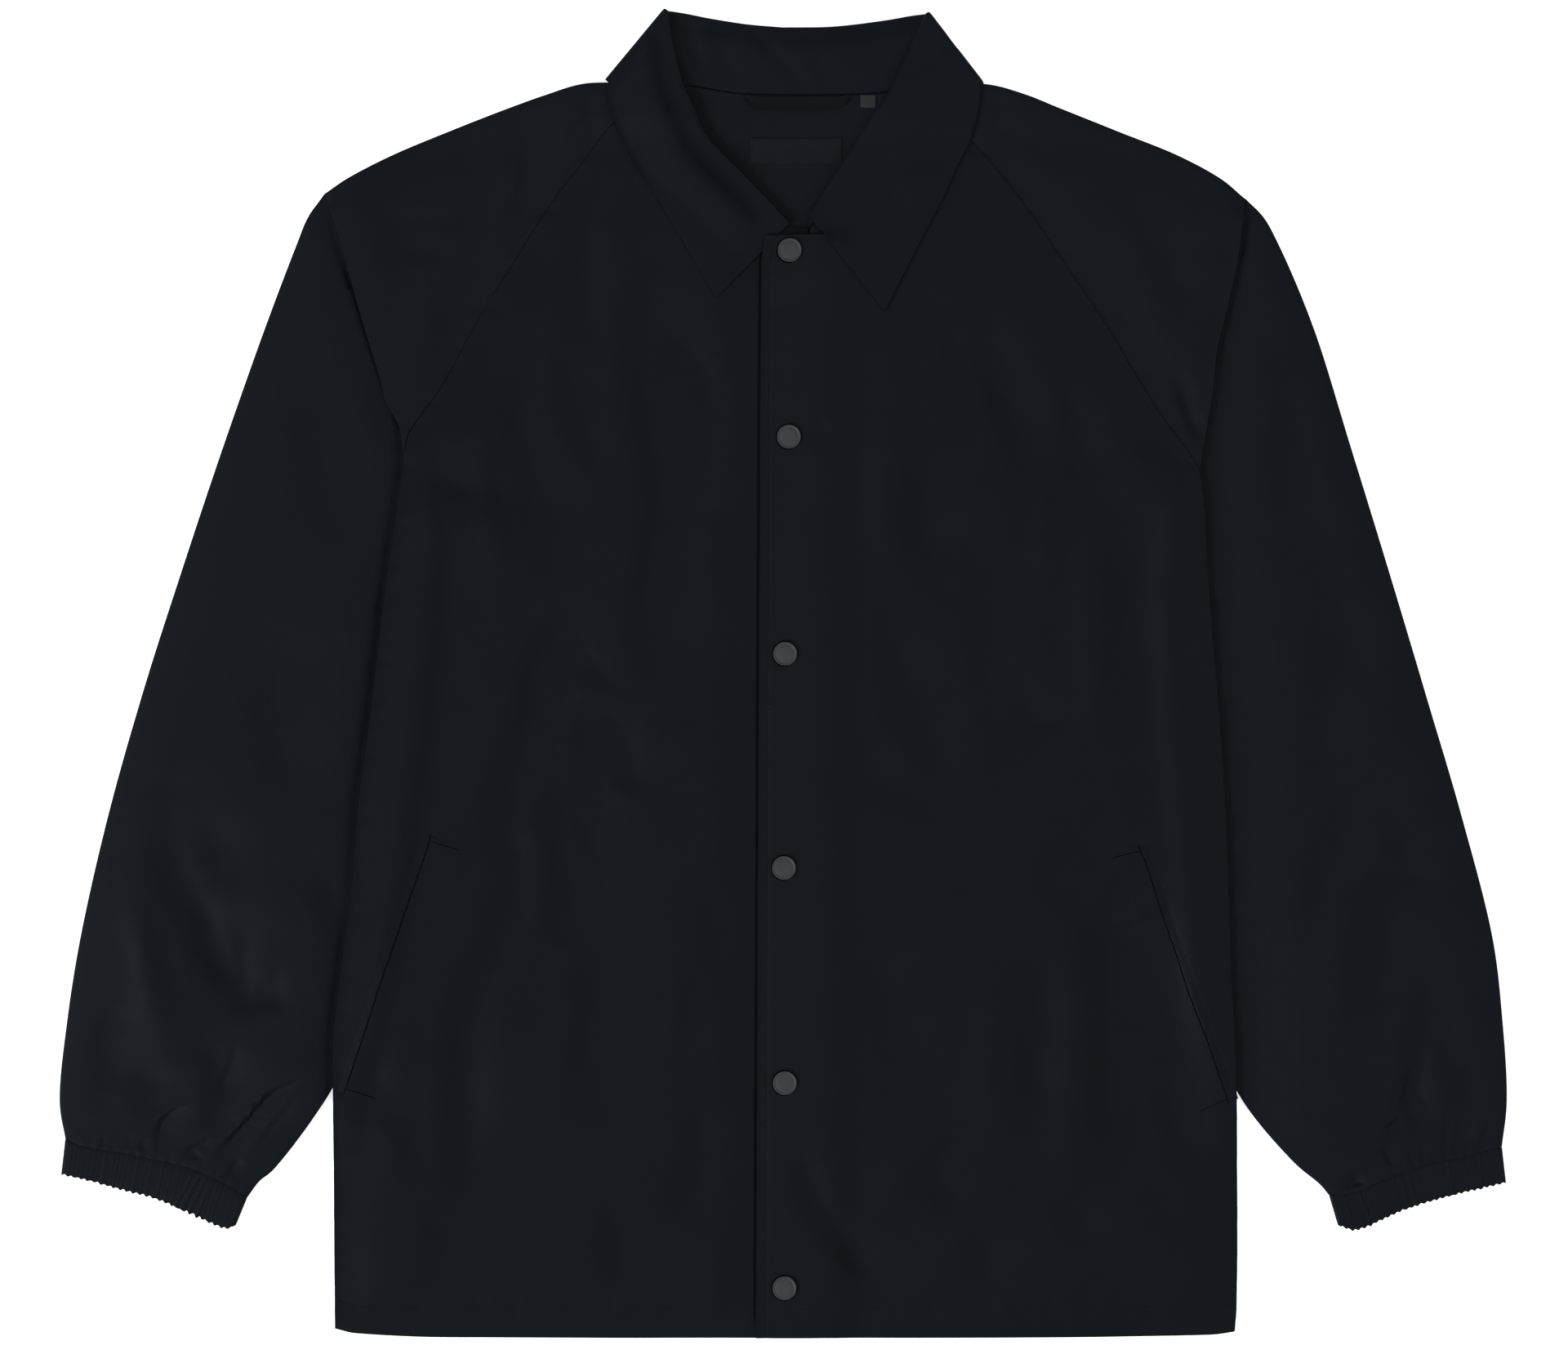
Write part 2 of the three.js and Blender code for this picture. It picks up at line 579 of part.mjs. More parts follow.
function collarGrid() {
  const up = { up: 1, out: 0 };
  const down = { up: -1, out: 0 };
  const grid = [];
  const none = () => 0;
  const lap = (x, y) => lapLift(x, y) + GAP;
  for (const name of ["right", "left"]) {
    const { sign } = HALVES[name];
    const front = between(COLLAR[name].front, 12);
    const side = front[front.length - 1];
    const rows = front.map((section) => collarSection(section, sign, up, name === "left" ? lap : none));
    for (const degrees of [45, 0, -45]) {
      const angle = THREE.MathUtils.degToRad(degrees);
      rows.push(collarSection(side, sign, { up: Math.sin(angle), out: Math.cos(angle) }, none));
    }
    const back = [side, ...COLLAR[name].back, COLLAR.centre].map((row) => ({ ...row, roll: 0.75 }));
    const sections = between(back, 7).map((section) => collarSection(section, sign, down, none));
    rows.push(...sections);
    if (name === "right") grid.push(...rows);
    else grid.push(...rows.slice(0, -1).reverse());
  }
  return grid;
}

// A strip that lies on another grid, from a table of its two edges
function stripOn(grid, corners, alongCount, acrossCount, rise, thickness) {
  return steps(alongCount).map((along) =>
    steps(acrossCount).map((across) => {
      const x = mix(mix(corners[0].x, corners[1].x, along), mix(corners[2].x, corners[3].x, along), across);
      const y = mix(mix(corners[0].y, corners[1].y, along), mix(corners[2].y, corners[3].y, along), across);
      return new THREE.Vector3(x, y, surfaceAt(grid, x, y) + (WALL + thickness) / 2 + rise);
    }));
}

function weltGrid(name, grid) {
  const { sign } = HALVES[name];
  const [top, bottom] = WELTS[name];
  const corners = [
    { x: sign * top.x, y: top.y }, { x: sign * bottom.x, y: bottom.y },
    { x: sign * top.innerX, y: top.innerY }, { x: sign * bottom.innerX, y: bottom.innerY },
  ];
  return stripOn(grid, corners, 16, 3, 0.45, WALL);
}

function labelGrid(grid, box, rise) {
  const corners = [
    { x: box.x0, y: box.y1 }, { x: box.x1, y: box.y1 }, { x: box.x0, y: box.y0 }, { x: box.x1, y: box.y0 },
  ];
  return stripOn(grid, corners, 4, 1, rise, 1);
}

function loopGrid(grid) {
  return LOOP.map((row) => [0.5, -0.5].map((across) => {
    const y = row.y + across * row.width;
    return new THREE.Vector3(row.x, y, surfaceAt(grid, row.x, y) + LAYER + 0.1);
  }));
}

// A snap's cap: a low dome with a rolled rim
function capGeometry() {
  const { radius, height, rim, sides } = CAP;
  const profile = [
    [0, 0], [radius - 0.5, 0], [radius, rim / 2], [radius - 0.4, rim + 0.3],
    [radius * 0.8, height * 0.8], [radius * 0.45, height * 0.97], [0, height],
  ];
  const geometry = new THREE.LatheGeometry(profile.map(([r, z]) => new THREE.Vector2(r, z)), sides);
  return geometry.rotateX(Math.PI / 2);
}

const back = backGrid();
const fronts = { right: frontGrid("right"), left: frontGrid("left") };

add("back_panel", wall(back));
for (const name of ["right", "left"]) {
  add(`${name}_front`, wall(fronts[name]));
  add(`${name}_sleeve_front`, wall(sleeveFrontGrid(name)));
  add(`${name}_sleeve_back`, wall(sleeveBackGrid(name)));
  add(`${name}_cuff_front`, wall(cuffGrid(name, true)));
  add(`${name}_cuff_back`, wall(cuffGrid(name, false)));
  add(`${name}_pocket_welt`, wall(weltGrid(name, fronts[name])));
}
add("collar", wall(collarGrid()));
add("hanger_loop", wall(loopGrid(back), 1), TAPE);
add("neck_label", wall(labelGrid(back, NECK_LABEL, 0.35), 1), TAPE);
add("size_label", wall(labelGrid(back, SIZE_LABEL, 0.35), 1), TAPE);

CAPS.forEach(({ x, y }, i) => {
  const cap = add(`snap_${i + 1}`, capGeometry(), CAP_PAINT);
  const around = steps(8).map((turn) => turn * 2 * Math.PI);
  const heights = around.map((a) => surfaceAt(
    fronts.left, x + CAP.radius * Math.cos(a), y + CAP.radius * Math.sin(a)));
  cap.position.set(x, y, Math.max(...heights) + WALL / 2 + GAP);
});

export default jacket;
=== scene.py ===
import json
import math
import random

import bpy
import numpy as np
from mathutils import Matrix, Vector

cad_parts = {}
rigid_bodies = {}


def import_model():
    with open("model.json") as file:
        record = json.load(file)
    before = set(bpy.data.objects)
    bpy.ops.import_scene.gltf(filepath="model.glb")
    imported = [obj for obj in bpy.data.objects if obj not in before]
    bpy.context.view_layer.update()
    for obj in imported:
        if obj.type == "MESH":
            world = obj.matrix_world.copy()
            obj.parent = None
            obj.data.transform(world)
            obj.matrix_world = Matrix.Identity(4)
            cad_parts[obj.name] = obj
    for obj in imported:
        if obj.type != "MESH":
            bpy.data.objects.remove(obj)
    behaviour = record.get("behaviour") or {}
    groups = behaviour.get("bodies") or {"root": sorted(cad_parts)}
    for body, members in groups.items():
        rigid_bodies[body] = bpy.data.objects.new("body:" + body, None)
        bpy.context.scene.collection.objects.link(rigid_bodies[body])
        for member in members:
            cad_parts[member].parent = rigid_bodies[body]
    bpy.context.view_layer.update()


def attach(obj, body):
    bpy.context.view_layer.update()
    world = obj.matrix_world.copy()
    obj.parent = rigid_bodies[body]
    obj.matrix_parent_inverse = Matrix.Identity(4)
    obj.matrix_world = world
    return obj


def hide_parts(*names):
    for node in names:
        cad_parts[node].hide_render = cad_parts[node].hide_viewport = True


MM = 0.001

for leftover in list(bpy.data.objects):
    bpy.data.objects.remove(leftover)
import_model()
bpy.ops.object.select_all(action="DESELECT")


# The cut of the body and the shoulders
# The jacket is three panels round the body and raglan sleeves that run up to the neck. The
# panels are sewn at the sides and along the raglan lines, which both neighbours of a seam share.
CUT = {
    "right": {
        "sign": -1,
        "armpit": (232, 134),
        "raglan": [(348, 84.5), (337, 104), (312, 123.5), (294, 138), (252, 165), (213, 189),
                   (176, 209), (157, 222.5), (145, 230), (134, 232)],
        "back_raglan": [(360, 70), (340, 88), (300, 120), (250, 158), (200, 190), (134, 232)],
        "side": [(134, 232), (117, 233.5), (92, 237.5), (42, 244.5), (-23, 252), (-78, 259.5),
                 (-138, 264.5), (-193, 272), (-233, 275.5), (-343, 275), (-402, 274.5)],
        "neck": [(272, -3.5), (291, 33), (312, 60.5), (332, 73.5), (345, 79.5), (362, 80.5)],
        "front_edge": [(272.5, -15), (-406, -15)],
        "front_top": 272.5,
        "tuck": [(232, 134), (234.5, 151), (242.5, 166), (246, 180), (258.5, 221), (271.5, 268),
                 (280, 294)],
        "shoulder": [(82.5, 360.5), (121, 361), (145.5, 354), (165.5, 347), (204, 332),
                     (239.5, 317), (268, 302), (280, 294)],
        "outer": [(280, 294), (290.5, 280), (298, 262), (317, 212), (343.5, 137), (368.5, 62),
                  (392.5, -13), (413.5, -88), (430.5, -163), (438.5, -213), (443, -263),
                  (439.5, -285)],
        "under": [(226, 134), (225, 122), (224, 104), (224, 84), (225, 60), (226, 40), (232, -23),
                  (240, -88), (247, -138), (258, -198), (266, -230), (276, -254), (312.5, -304),
                  (321, -311), (328.5, -321)],
    },
    "left": {
        "sign": 1,
        "armpit": (254.5, 125),
        "raglan": [(348, 91), (338, 104), (325, 116), (290, 145.5), (252, 171.5), (217, 195.5),
                   (172, 222.5), (152, 235.5), (134, 249), (125, 254.5)],
        "back_raglan": [(358, 73), (340, 92), (300, 128), (250, 168), (200, 203), (172, 219),
                        (152, 231), (134, 245.5), (125, 254.5)],
        "side": [(125, 254.5), (102, 258), (62, 260), (12, 264), (-38, 268), (-88, 271),
                 (-138, 273), (-188, 274.5), (-238, 277), (-343, 278), (-388, 277.5),
                 (-404, 276.5)],
        "neck": [(271, 14.5), (295, 37), (317, 60.5), (332, 75.5), (343, 87), (362, 84.5)],
        "front_edge": [(268, -11.5), (250, -13), (12, -14.5), (-203, -15.5), (-406, -16.5)],
        "front_top": 268,
        "tuck": [(254.5, 125), (257, 141), (262.5, 172), (265, 197), (270.5, 220), (277.5, 252),
                 (281, 278), (282, 291)],
        "shoulder": [(88, 360.5), (125, 360.5), (149.5, 354), (167, 347), (204.5, 332),
                     (241.5, 317), (268.5, 302), (282, 291)],
        "outer": [(282, 291), (293.5, 280), (303.5, 262), (324.5, 212), (348, 137), (371, 62),
                  (393.5, -13), (415.5, -88), (434.5, -163), (440.5, -213), (443, -263),
                  (440, -290)],
        "under": [(248, 125), (246, 112), (245, 94), (244, 74), (243.5, 50), (244, 26), (246, -13),
                  (250, -63), (254, -113), (259, -173), (267, -221), (278, -256), (312.5, -299),
                  (329, -313), (334.5, -319.5)],
    },
}
HEM = [(-275, -401), (-262, -404), (-210, -406.5), (-90, -407), (60, -407), (180, -406.5),
       (262, -405), (277, -403)]
BACK_NECK = [(-70, 360.2), (-54, 358.8), (-27, 354.6), (0, 353.4), (30, 353.4), (60, 355),
             (73, 357.8)]
CLOTH = 0.7         # thickness of one layer of cloth
LOWER = 0.6         # middle height of a layer that lies on the table
UPPER = 2.1         # middle height of a layer that lies on another
LAYER = 1.5         # from one layer to the next
UNDER_SLEEVE = 3.3  # how far a sleeve lifts the side of the body that lies over it
SEAM_GAP = 0.15     # from a raglan line to the edge of the cloth on either side of it
SLACK = 0.11        # size of the cloth's faint long waves
COLUMNS = 84        # even columns across a panel


def smooth(start, end, value):
    """0 before start and 1 after end, with a soft step between."""
    t = np.clip((value - start) / (end - start), 0, 1)
    return t * t * (3 - 2 * t)


def line_through(points):
    """A curve y(x) through points (x, y) that never swings past them."""
    x, y = np.array(sorted(points), float).T
    slope = np.diff(y) / np.diff(x)
    both = slope[:-1] * slope[1:]
    total = np.where(both > 0, slope[:-1] + slope[1:], 1)
    tangent = np.concatenate([slope[:1], np.where(both > 0, 2 * both / total, 0), slope[-1:]])

    def at(value):
        v = np.clip(value, x[0], x[-1])
        i = np.clip(np.searchsorted(x, v, side="right") - 1, 0, len(x) - 2)
        width = x[i + 1] - x[i]
        t = (v - x[i]) / width
        bend = width * t * (1 - t) * (tangent[i] * (1 - t) - tangent[i + 1] * t)
        return y[i] + (y[i + 1] - y[i]) * t * t * (3 - 2 * t) + bend

    return at


def path_through(points):
    """A smooth path through points, read by the share of its length."""
    p = np.array(points, float)
    p = np.vstack([2 * p[0] - p[1], p, 2 * p[-1] - p[-2]])
    gap = np.sqrt(np.linalg.norm(np.diff(p, axis=0), axis=1))
    t = np.linspace(0, 1, 24, endpoint=False)[:, None]
    pieces = []
    for i in range(1, len(p) - 2):
        before, here, after = gap[i - 1:i + 2]
        leave = ((p[i] - p[i - 1]) / before - (p[i + 1] - p[i - 1]) / (before + here)
                 + (p[i + 1] - p[i]) / here) * here
        arrive = ((p[i + 1] - p[i]) / here - (p[i + 2] - p[i]) / (here + after)
                  + (p[i + 2] - p[i + 1]) / after) * here
        pieces.append((2 * t**3 - 3 * t**2 + 1) * p[i] + (t**3 - 2 * t**2 + t) * leave
                      + (3 * t**2 - 2 * t**3) * p[i + 1] + (t**3 - t**2) * arrive)
    line = np.vstack([*pieces, p[-2:-1]])
    run = np.concatenate([[0], np.cumsum(np.linalg.norm(np.diff(line, axis=0), axis=1))])
    return lambda share: np.stack(
        [np.interp(np.asarray(share) * run[-1], run, line[:, k]) for k in range(2)], -1)


for half in CUT.values():
    for line in ("raglan", "back_raglan", "side", "neck", "front_edge"):
        half[line + "_at"] = line_through(half[line])
    half["under_at"] = line_through([(y, x) for x, y in half["under"]])
hem_at = line_through(HEM)
back_neck_at = line_through(BACK_NECK)


FAR_SIDE = (0.88, 0.47)  # the way that the steep side of a fold looks, which is up and to the right


def distance_to(points, x, y, sign=1):
    """How far (x, y) is from a bent line, how far along the line's length its nearest place is, how
    far it lies on the line's far side, and how far beyond its ends."""
    line = np.array(points, float)
    nearest = np.full(np.shape(x), 1e9)
    along, side, beyond = (np.zeros(np.shape(x)) for _ in range(3))
    runs = np.linalg.norm(np.diff(line, axis=0), axis=1)
    chord = line[-1] - line[0]
    far = 1 if sign * chord[1] * FAR_SIDE[0] - chord[0] * FAR_SIDE[1] > 0 else -1
    for k, run in enumerate(runs):
        (ax, ay), (dx, dy) = line[k], (line[k + 1] - line[k])
        t = np.clip(((x - ax) * dx + (y - ay) * dy) / run**2, 0, 1)
        off_x, off_y = x - ax - dx * t, y - ay - dy * t
        away = np.hypot(off_x, off_y)
        closer = away < nearest
        along = np.where(closer, (runs[:k].sum() + t * run) / runs.sum(), along)
        side = np.where(closer, far * (off_x * dy - off_y * dx) / run, side)
        beyond = np.where(closer, np.abs(off_x * dx + off_y * dy) / run, beyond)
        nearest = np.minimum(nearest, away)
    return nearest, along, side, beyond


def creases(table, x, y, sign=1):
    """Soft creases: each row has the width of its steep side, its rise (below 0 for a trough) and
    its line. A trough drops along its line and rises again slowly beyond it."""
    height = np.zeros(np.shape(x))
    for width, rise, *points in table:
        smooth_line = path_through(points)(np.linspace(0, 1, 14)) if len(points) > 2 else points
        away, along, side, beyond = distance_to(smooth_line, x, y, sign)
        ends = smooth(-0.02, 0.3, along) * (1 - smooth(0.7, 1.02, along))
        ends = (0.25 + 0.75 * ends) * (1 - smooth(0, 0.9 * width, beyond))
        t = side / (width * (1 + 0.2 * np.sin(9 * along + width)))
        if rise > 0:
            shape = np.exp(-(t / 0.6) ** 2)
        else:
            shape = smooth(-0.55, 0.55, t) * np.exp(-(np.maximum(t - 0.35, 0) / 1.3) ** 2)
        height += rise * shape * ends
    return height


def folds(table, x, y, sign):
    """Sharp folds: the cloth drops at each line and rises slowly beyond it. Each row has its depth,
    its reach beyond the line and its line."""
    height = np.zeros(np.shape(x))
    for depth, reach, *points in table:
        line = path_through(points)(np.linspace(0, 1, 12)) if len(points) > 2 else points
        away, along, side, beyond = distance_to(line, x, y, sign)
        ends = smooth(-0.05, 0.35, along) * (1 - smooth(0.6, 1.05, along))
        ends = ends * (1 - smooth(0, 4, beyond))
        height -= depth * smooth(-1.1, 1.1, side) * np.exp(-(np.maximum(side, 0) / reach) ** 2) * ends
    return height


def slack(x, y, seed=0.0):
    """The faint unevenness of cloth that was worn or folded, in long waves that never repeat."""
    waves = (np.sin(x / 23 + 1.7 * np.sin(y / 61 + seed) + seed)
             + np.sin(y / 37 - x / 71 + 2.1 * seed)
             + 0.7 * np.sin(x / 13 + y / 19 + 1.3 * np.sin(x / 41) + 3.7 * seed))
    return SLACK * waves


def pucker(away, along, reach=7, rise=0.22):
    """A seam's small gathers: ripples along it, which fade on both sides."""
    ripple = (np.sin(along / 1.9) + np.sin(along / 3.1 + 1.2) + 0.8 * np.sin(along / 5.3 + 0.4))
    return rise * ripple * np.exp(-(away / reach)**2)


def neck_lift(x, y):
    """The fall of the collar lies under the back at the neck and lifts what is over it."""
    return LAYER * smooth(322, 342, y) * (1 - smooth(132, 165, np.abs(x)))


def side_lift(half, x, y):
    """The sleeve runs a little way under the body's side and lifts its edge."""
    top = half["armpit"][1]
    along = smooth(-top - 12, 8 - top, -y) * smooth(-306, -266, y)
    covered = np.maximum(0, half["side_at"](y) - half["under_at"](y))
    inwards = half["side_at"](y) - x
    return UNDER_SLEEVE * along * (1 - smooth(covered + 6, covered + 23, inwards))


def across(inner, outer, from_inner, from_outer, count):
    """Places from inner to outer on each row: close steps beside both edges, even ones between."""
    room = np.minimum(1, (outer - inner) / 60)[:, None]
    start = inner[:, None] + room * np.array(from_inner)
    end = outer[:, None] - room * np.array(from_outer)[::-1]
    share = np.linspace(0, 1, count + 1)[1:-1]
    middle = start[:, -1:] * (1 - share) + end[:, :1] * share
    return np.concatenate([start, middle, end], axis=1)


def grain(grid, turn=0):
    """The cloth's threads on a flat panel, turned by so many degrees in its plane, in millimetres."""
    c, s = math.cos(math.radians(turn)), math.sin(math.radians(turn))
    x, y = grid[..., 0], grid[..., 1]
    return np.stack([c * x + s * y, c * y - s * x], -1)


def strip_grain(grid):
    """The threads of a folded or gathered strip: lengths along its rows and its columns."""
    down = np.linalg.norm(np.diff(grid, axis=0), axis=2).mean(1)
    along = np.linalg.norm(np.diff(grid, axis=1), axis=2).mean(0)
    u = np.concatenate([[0], np.cumsum(along)])
    v = np.concatenate([[0], np.cumsum(down)])
    return np.stack(np.meshgrid(u, v), -1)


def new_mesh(name, points, faces):
    """A mesh in metres from points in millimetres, and the point at each corner of its faces."""
    mesh = bpy.data.meshes.new(name)
    mesh.from_pydata((np.asarray(points) * MM).tolist(), [], faces)
    corner = np.zeros(len(mesh.loops), np.int32)
    mesh.loops.foreach_get("vertex_index", corner)
    return mesh, corner


def new_piece(name, mesh, uv):
    """An object in the scene, with the map of its threads in metres."""
    mesh.uv_layers.new(name="threads").data.foreach_set("uv", uv.astype(np.float32).ravel())
    piece = bpy.data.objects.new(name, mesh)
    bpy.context.scene.collection.objects.link(piece)
    return piece


def cloth_piece(name, grid, threads, thickness=CLOTH, closed=False):
    """A sheet of cloth round a grid of points on its middle. A closed one is a tube."""
    rows, columns = grid.shape[:2]
    index = np.arange(rows * columns).reshape(rows, columns)
    beside = np.roll(index, -1, axis=1) if closed else index[:, 1:]
    here = index if closed else index[:, :-1]
    faces = np.stack([here[:-1], beside[:-1], beside[1:], here[1:]], -1).reshape(-1, 4)
    mesh, corner = new_mesh(name, grid.reshape(-1, 3), faces.tolist())
    uv = threads.reshape(-1, 2)[corner] * MM
    if closed:
        last = np.tile([False, True, True, False], len(faces))
        last &= np.repeat(here[:-1].ravel() % columns == columns - 1, 4)
        girth = np.linalg.norm(np.roll(grid, -1, axis=1) - grid, axis=2).mean(0).sum()
        uv[last, 0] += girth * MM
    piece = new_piece(name, mesh, uv)
    bpy.ops.object.select_all(action="DESELECT")
    piece.select_set(True)
    bpy.context.view_layer.objects.active = piece
    wall = piece.modifiers.new("Wall", "SOLIDIFY")
    wall.thickness = thickness * MM
    wall.offset = 0
    bpy.ops.object.modifier_apply(modifier="Wall")
    bpy.ops.object.shade_smooth_by_angle(angle=math.radians(50))
    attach(piece, "root")
    return piece


def height_on(grid, x, y):
    """The height of a sheet's middle over places in plan, from the four nearest of its points."""
    points = grid.reshape(-1, 3)
    heights = []
    for px, py in zip(np.ravel(x), np.ravel(y)):
        away = (points[:, 0] - px) ** 2 + (points[:, 1] - py) ** 2
        near = np.argpartition(away, 4)[:4]
        weight = 1 / (away[near] + 0.01)
        heights.append((points[near, 2] * weight).sum() / weight.sum())
    return np.reshape(heights, np.shape(x))


# The cloth: a thin plain weave of black nylon, dyed with a trace of blue. Its threads are
# a little uneven, which shows as fine streaks along the weft, and it has a dull sheen.
CLOTH_COLOUR = (0.0023, 0.0036, 0.0051)
CLOTH_LIGHT = (0.0043, 0.0060, 0.0080)
SLEEVE_SHEEN_COLOUR = (0.0025, 0.0040, 0.0058)  # painted sheen: a trace lighter and bluer than the body's cloth, for the light that a sleeve's askew threads catch
SLEEVE_SHEEN_LIGHT = (0.0047, 0.0066, 0.0090)
THREAD_PITCH = 0.55


def node(tree, kind, at=(0, 0), **values):
    """A node of a material, with its settings and its plain inputs."""
    made = tree.nodes.new("ShaderNode" + kind)
    made.location = at
    for key, value in values.items():
        if key.startswith("in_"):
            made.inputs[key[3:].replace("_", " ")].default_value = value
        else:
            setattr(made, key, value)
    return made


def new_finish(name):
    """A new material, its tree of nodes and its shader."""
    finish = bpy.data.materials.new(name)
    finish.use_nodes = True
    return finish, finish.node_tree, finish.node_tree.nodes["Principled BSDF"]


def weave_group():
    """Plain weave from a map in metres: raised threads, thin streaks of thicker ones, and patches."""
    tree = bpy.data.node_groups.new("Plain weave", "ShaderNodeTree")
    side = tree.interface
    side.new_socket("Threads", in_out="INPUT", socket_type="NodeSocketVector")
    side.new_socket("Pitch", in_out="INPUT", socket_type="NodeSocketFloat").default_value = 0.0006
    for name in ("Height", "Streaks", "Patches"):
        side.new_socket(name, in_out="OUTPUT", socket_type="NodeSocketFloat")
    start = tree.nodes.new("NodeGroupInput")
    end = tree.nodes.new("NodeGroupOutput")
    link = tree.links.new
    count = node(tree, "VectorMath", (-700, 200), operation="DIVIDE")
    link(start.outputs["Threads"], count.inputs[0])
    pitch = node(tree, "CombineXYZ", (-900, 100))
    for axis in "XYZ":
        link(start.outputs["Pitch"], pitch.inputs[axis])
    link(pitch.outputs[0], count.inputs[1])
    turn = node(tree, "VectorMath", (-520, 200), operation="SCALE")
    turn.inputs["Scale"].default_value = math.pi
    link(count.outputs[0], turn.inputs[0])
    wave = node(tree, "VectorMath", (-340, 200), operation="SINE")
    link(turn.outputs[0], wave.inputs[0])
    parts = node(tree, "SeparateXYZ", (-160, 200))
    link(wave.outputs[0], parts.inputs[0])
    over = node(tree, "Math", (20, 200), operation="MULTIPLY")
    link(parts.outputs[0], over.inputs[0])
    link(parts.outputs[1], over.inputs[1])
    rise = node(tree, "Math", (200, 200), operation="MULTIPLY_ADD")
    rise.inputs[1].default_value = 0.5
    rise.inputs[2].default_value = 0.5
    link(over.outputs[0], rise.inputs[0])
    link(rise.outputs[0], end.inputs["Height"])
    streak_map = node(tree, "Mapping", (-520, -100), in_Scale=(45.0, 1500.0, 1.0))
    link(start.outputs["Threads"], streak_map.inputs["Vector"])
    streaks = node(tree, "TexNoise", (-300, -100), in_Scale=1.0, in_Detail=2.0, in_Roughness=0.6)
    link(streak_map.outputs[0], streaks.inputs["Vector"])
    link(streaks.outputs["Fac"], end.inputs["Streaks"])
    patches = node(tree, "TexNoise", (-300, -400), in_Scale=24.0, in_Detail=3.0, in_Roughness=0.55)
    link(start.outputs["Threads"], patches.inputs["Vector"])
    link(patches.outputs["Fac"], end.inputs["Patches"])
    return tree


plain_weave = weave_group()


def woven(name, dark, light, pitch, depth, rough, specular, sheen):
    """A woven finish on a piece's own threads: its two shades, the weave's pitch and depth, its gloss."""
    finish, tree, shader = new_finish(name)
    link = tree.links.new
    threads = node(tree, "UVMap", (-1100, 0), uv_map="threads")
    weave = node(tree, "Group", (-900, 0), node_tree=plain_weave)
    weave.inputs["Pitch"].default_value = pitch * MM
    link(threads.outputs[0], weave.inputs["Threads"])
    mask = node(tree, "Math", (-700, 200), operation="MULTIPLY_ADD")
    mask.inputs[1].default_value = 0.7
    link(weave.outputs["Streaks"], mask.inputs[0])
    part = node(tree, "Math", (-700, 0), operation="MULTIPLY_ADD")
    part.inputs[1].default_value = 0.5
    part.inputs[2].default_value = -0.1
    link(weave.outputs["Patches"], part.inputs[0])
    link(part.outputs[0], mask.inputs[2])
    shade = node(tree, "Mix", (-450, 200), data_type="RGBA")
    shade.inputs["A"].default_value = (*dark, 1)
    shade.inputs["B"].default_value = (*light, 1)
    link(mask.outputs[0], shade.inputs["Factor"])
    link(shade.outputs["Result"], shader.inputs["Base Color"])
    roughness = node(tree, "MapRange", (-450, -100))
    roughness.inputs["To Min"].default_value = rough - 0.06
    roughness.inputs["To Max"].default_value = rough + 0.08
    link(weave.outputs["Streaks"], roughness.inputs["Value"])
    link(roughness.outputs[0], shader.inputs["Roughness"])
    height = node(tree, "Math", (-450, -350), operation="MULTIPLY_ADD")
    height.inputs[1].default_value = 0.6
    link(weave.outputs["Streaks"], height.inputs[0])
    link(weave.outputs["Height"], height.inputs[2])
    bump = node(tree, "Bump", (-250, -350), in_Strength=0.55, in_Distance=depth * MM)
    link(height.outputs[0], bump.inputs["Height"])
    link(bump.outputs[0], shader.inputs["Normal"])
    shader.inputs["Specular IOR Level"].default_value = specular
    shader.inputs["Sheen Weight"].default_value = sheen
    shader.inputs["Sheen Roughness"].default_value = 0.45
    shader.inputs["Sheen Tint"].default_value = (0.75, 0.86, 1.0, 1.0)
    return finish


black_cloth = woven("Black plain-weave cloth", CLOTH_COLOUR, CLOTH_LIGHT,
                    pitch=THREAD_PITCH, depth=0.05, rough=0.62, specular=0.065, sheen=0.01)
# The sleeves, shoulders and cuffs use a copy of the cloth painted a trace lighter and bluer: painted
# sheen.
sheen_painted_sleeve_cloth = woven("Black plain-weave cloth, painted sheen", SLEEVE_SHEEN_COLOUR, SLEEVE_SHEEN_LIGHT,
                     pitch=THREAD_PITCH, depth=0.05, rough=0.62, specular=0.068, sheen=0.01)


def finish_cloth(piece, material, slot, *nodes):
    """The piece's finish and the solids that it stands for, which are hidden; slot, the record's slot, is
    not used.
    """
    piece.data.materials.clear()
    piece.data.materials.append(material)
    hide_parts(*nodes)


# The back panel
# One large panel, cut whole, from the back neck to the hem. It lies flat on the table with its
# right side down, and the sleeves run under its sides.
EDGE_STEPS = (0, 0.4, 1, 2, 4)     # columns beside an edge, so that it can round off
HEM_LEVEL = -404    # height in the picture of the hem's row before it follows the hem's curve
BACK_TOP = 352
NECK_ROW = 360
BACK_CREASES = [(34, 0.5, (-60, 150), (-90, 20), (-70, -120)), (30, 0.45, (80, 90), (110, -60)),
                (26, 0.5, (20, -150), (60, -330)), (28, 0.4, (-170, -60), (-150, -260)),
                (24, 0.4, (190, -120), (170, -300)), (22, 0.35, (-20, 300), (-10, 210))]


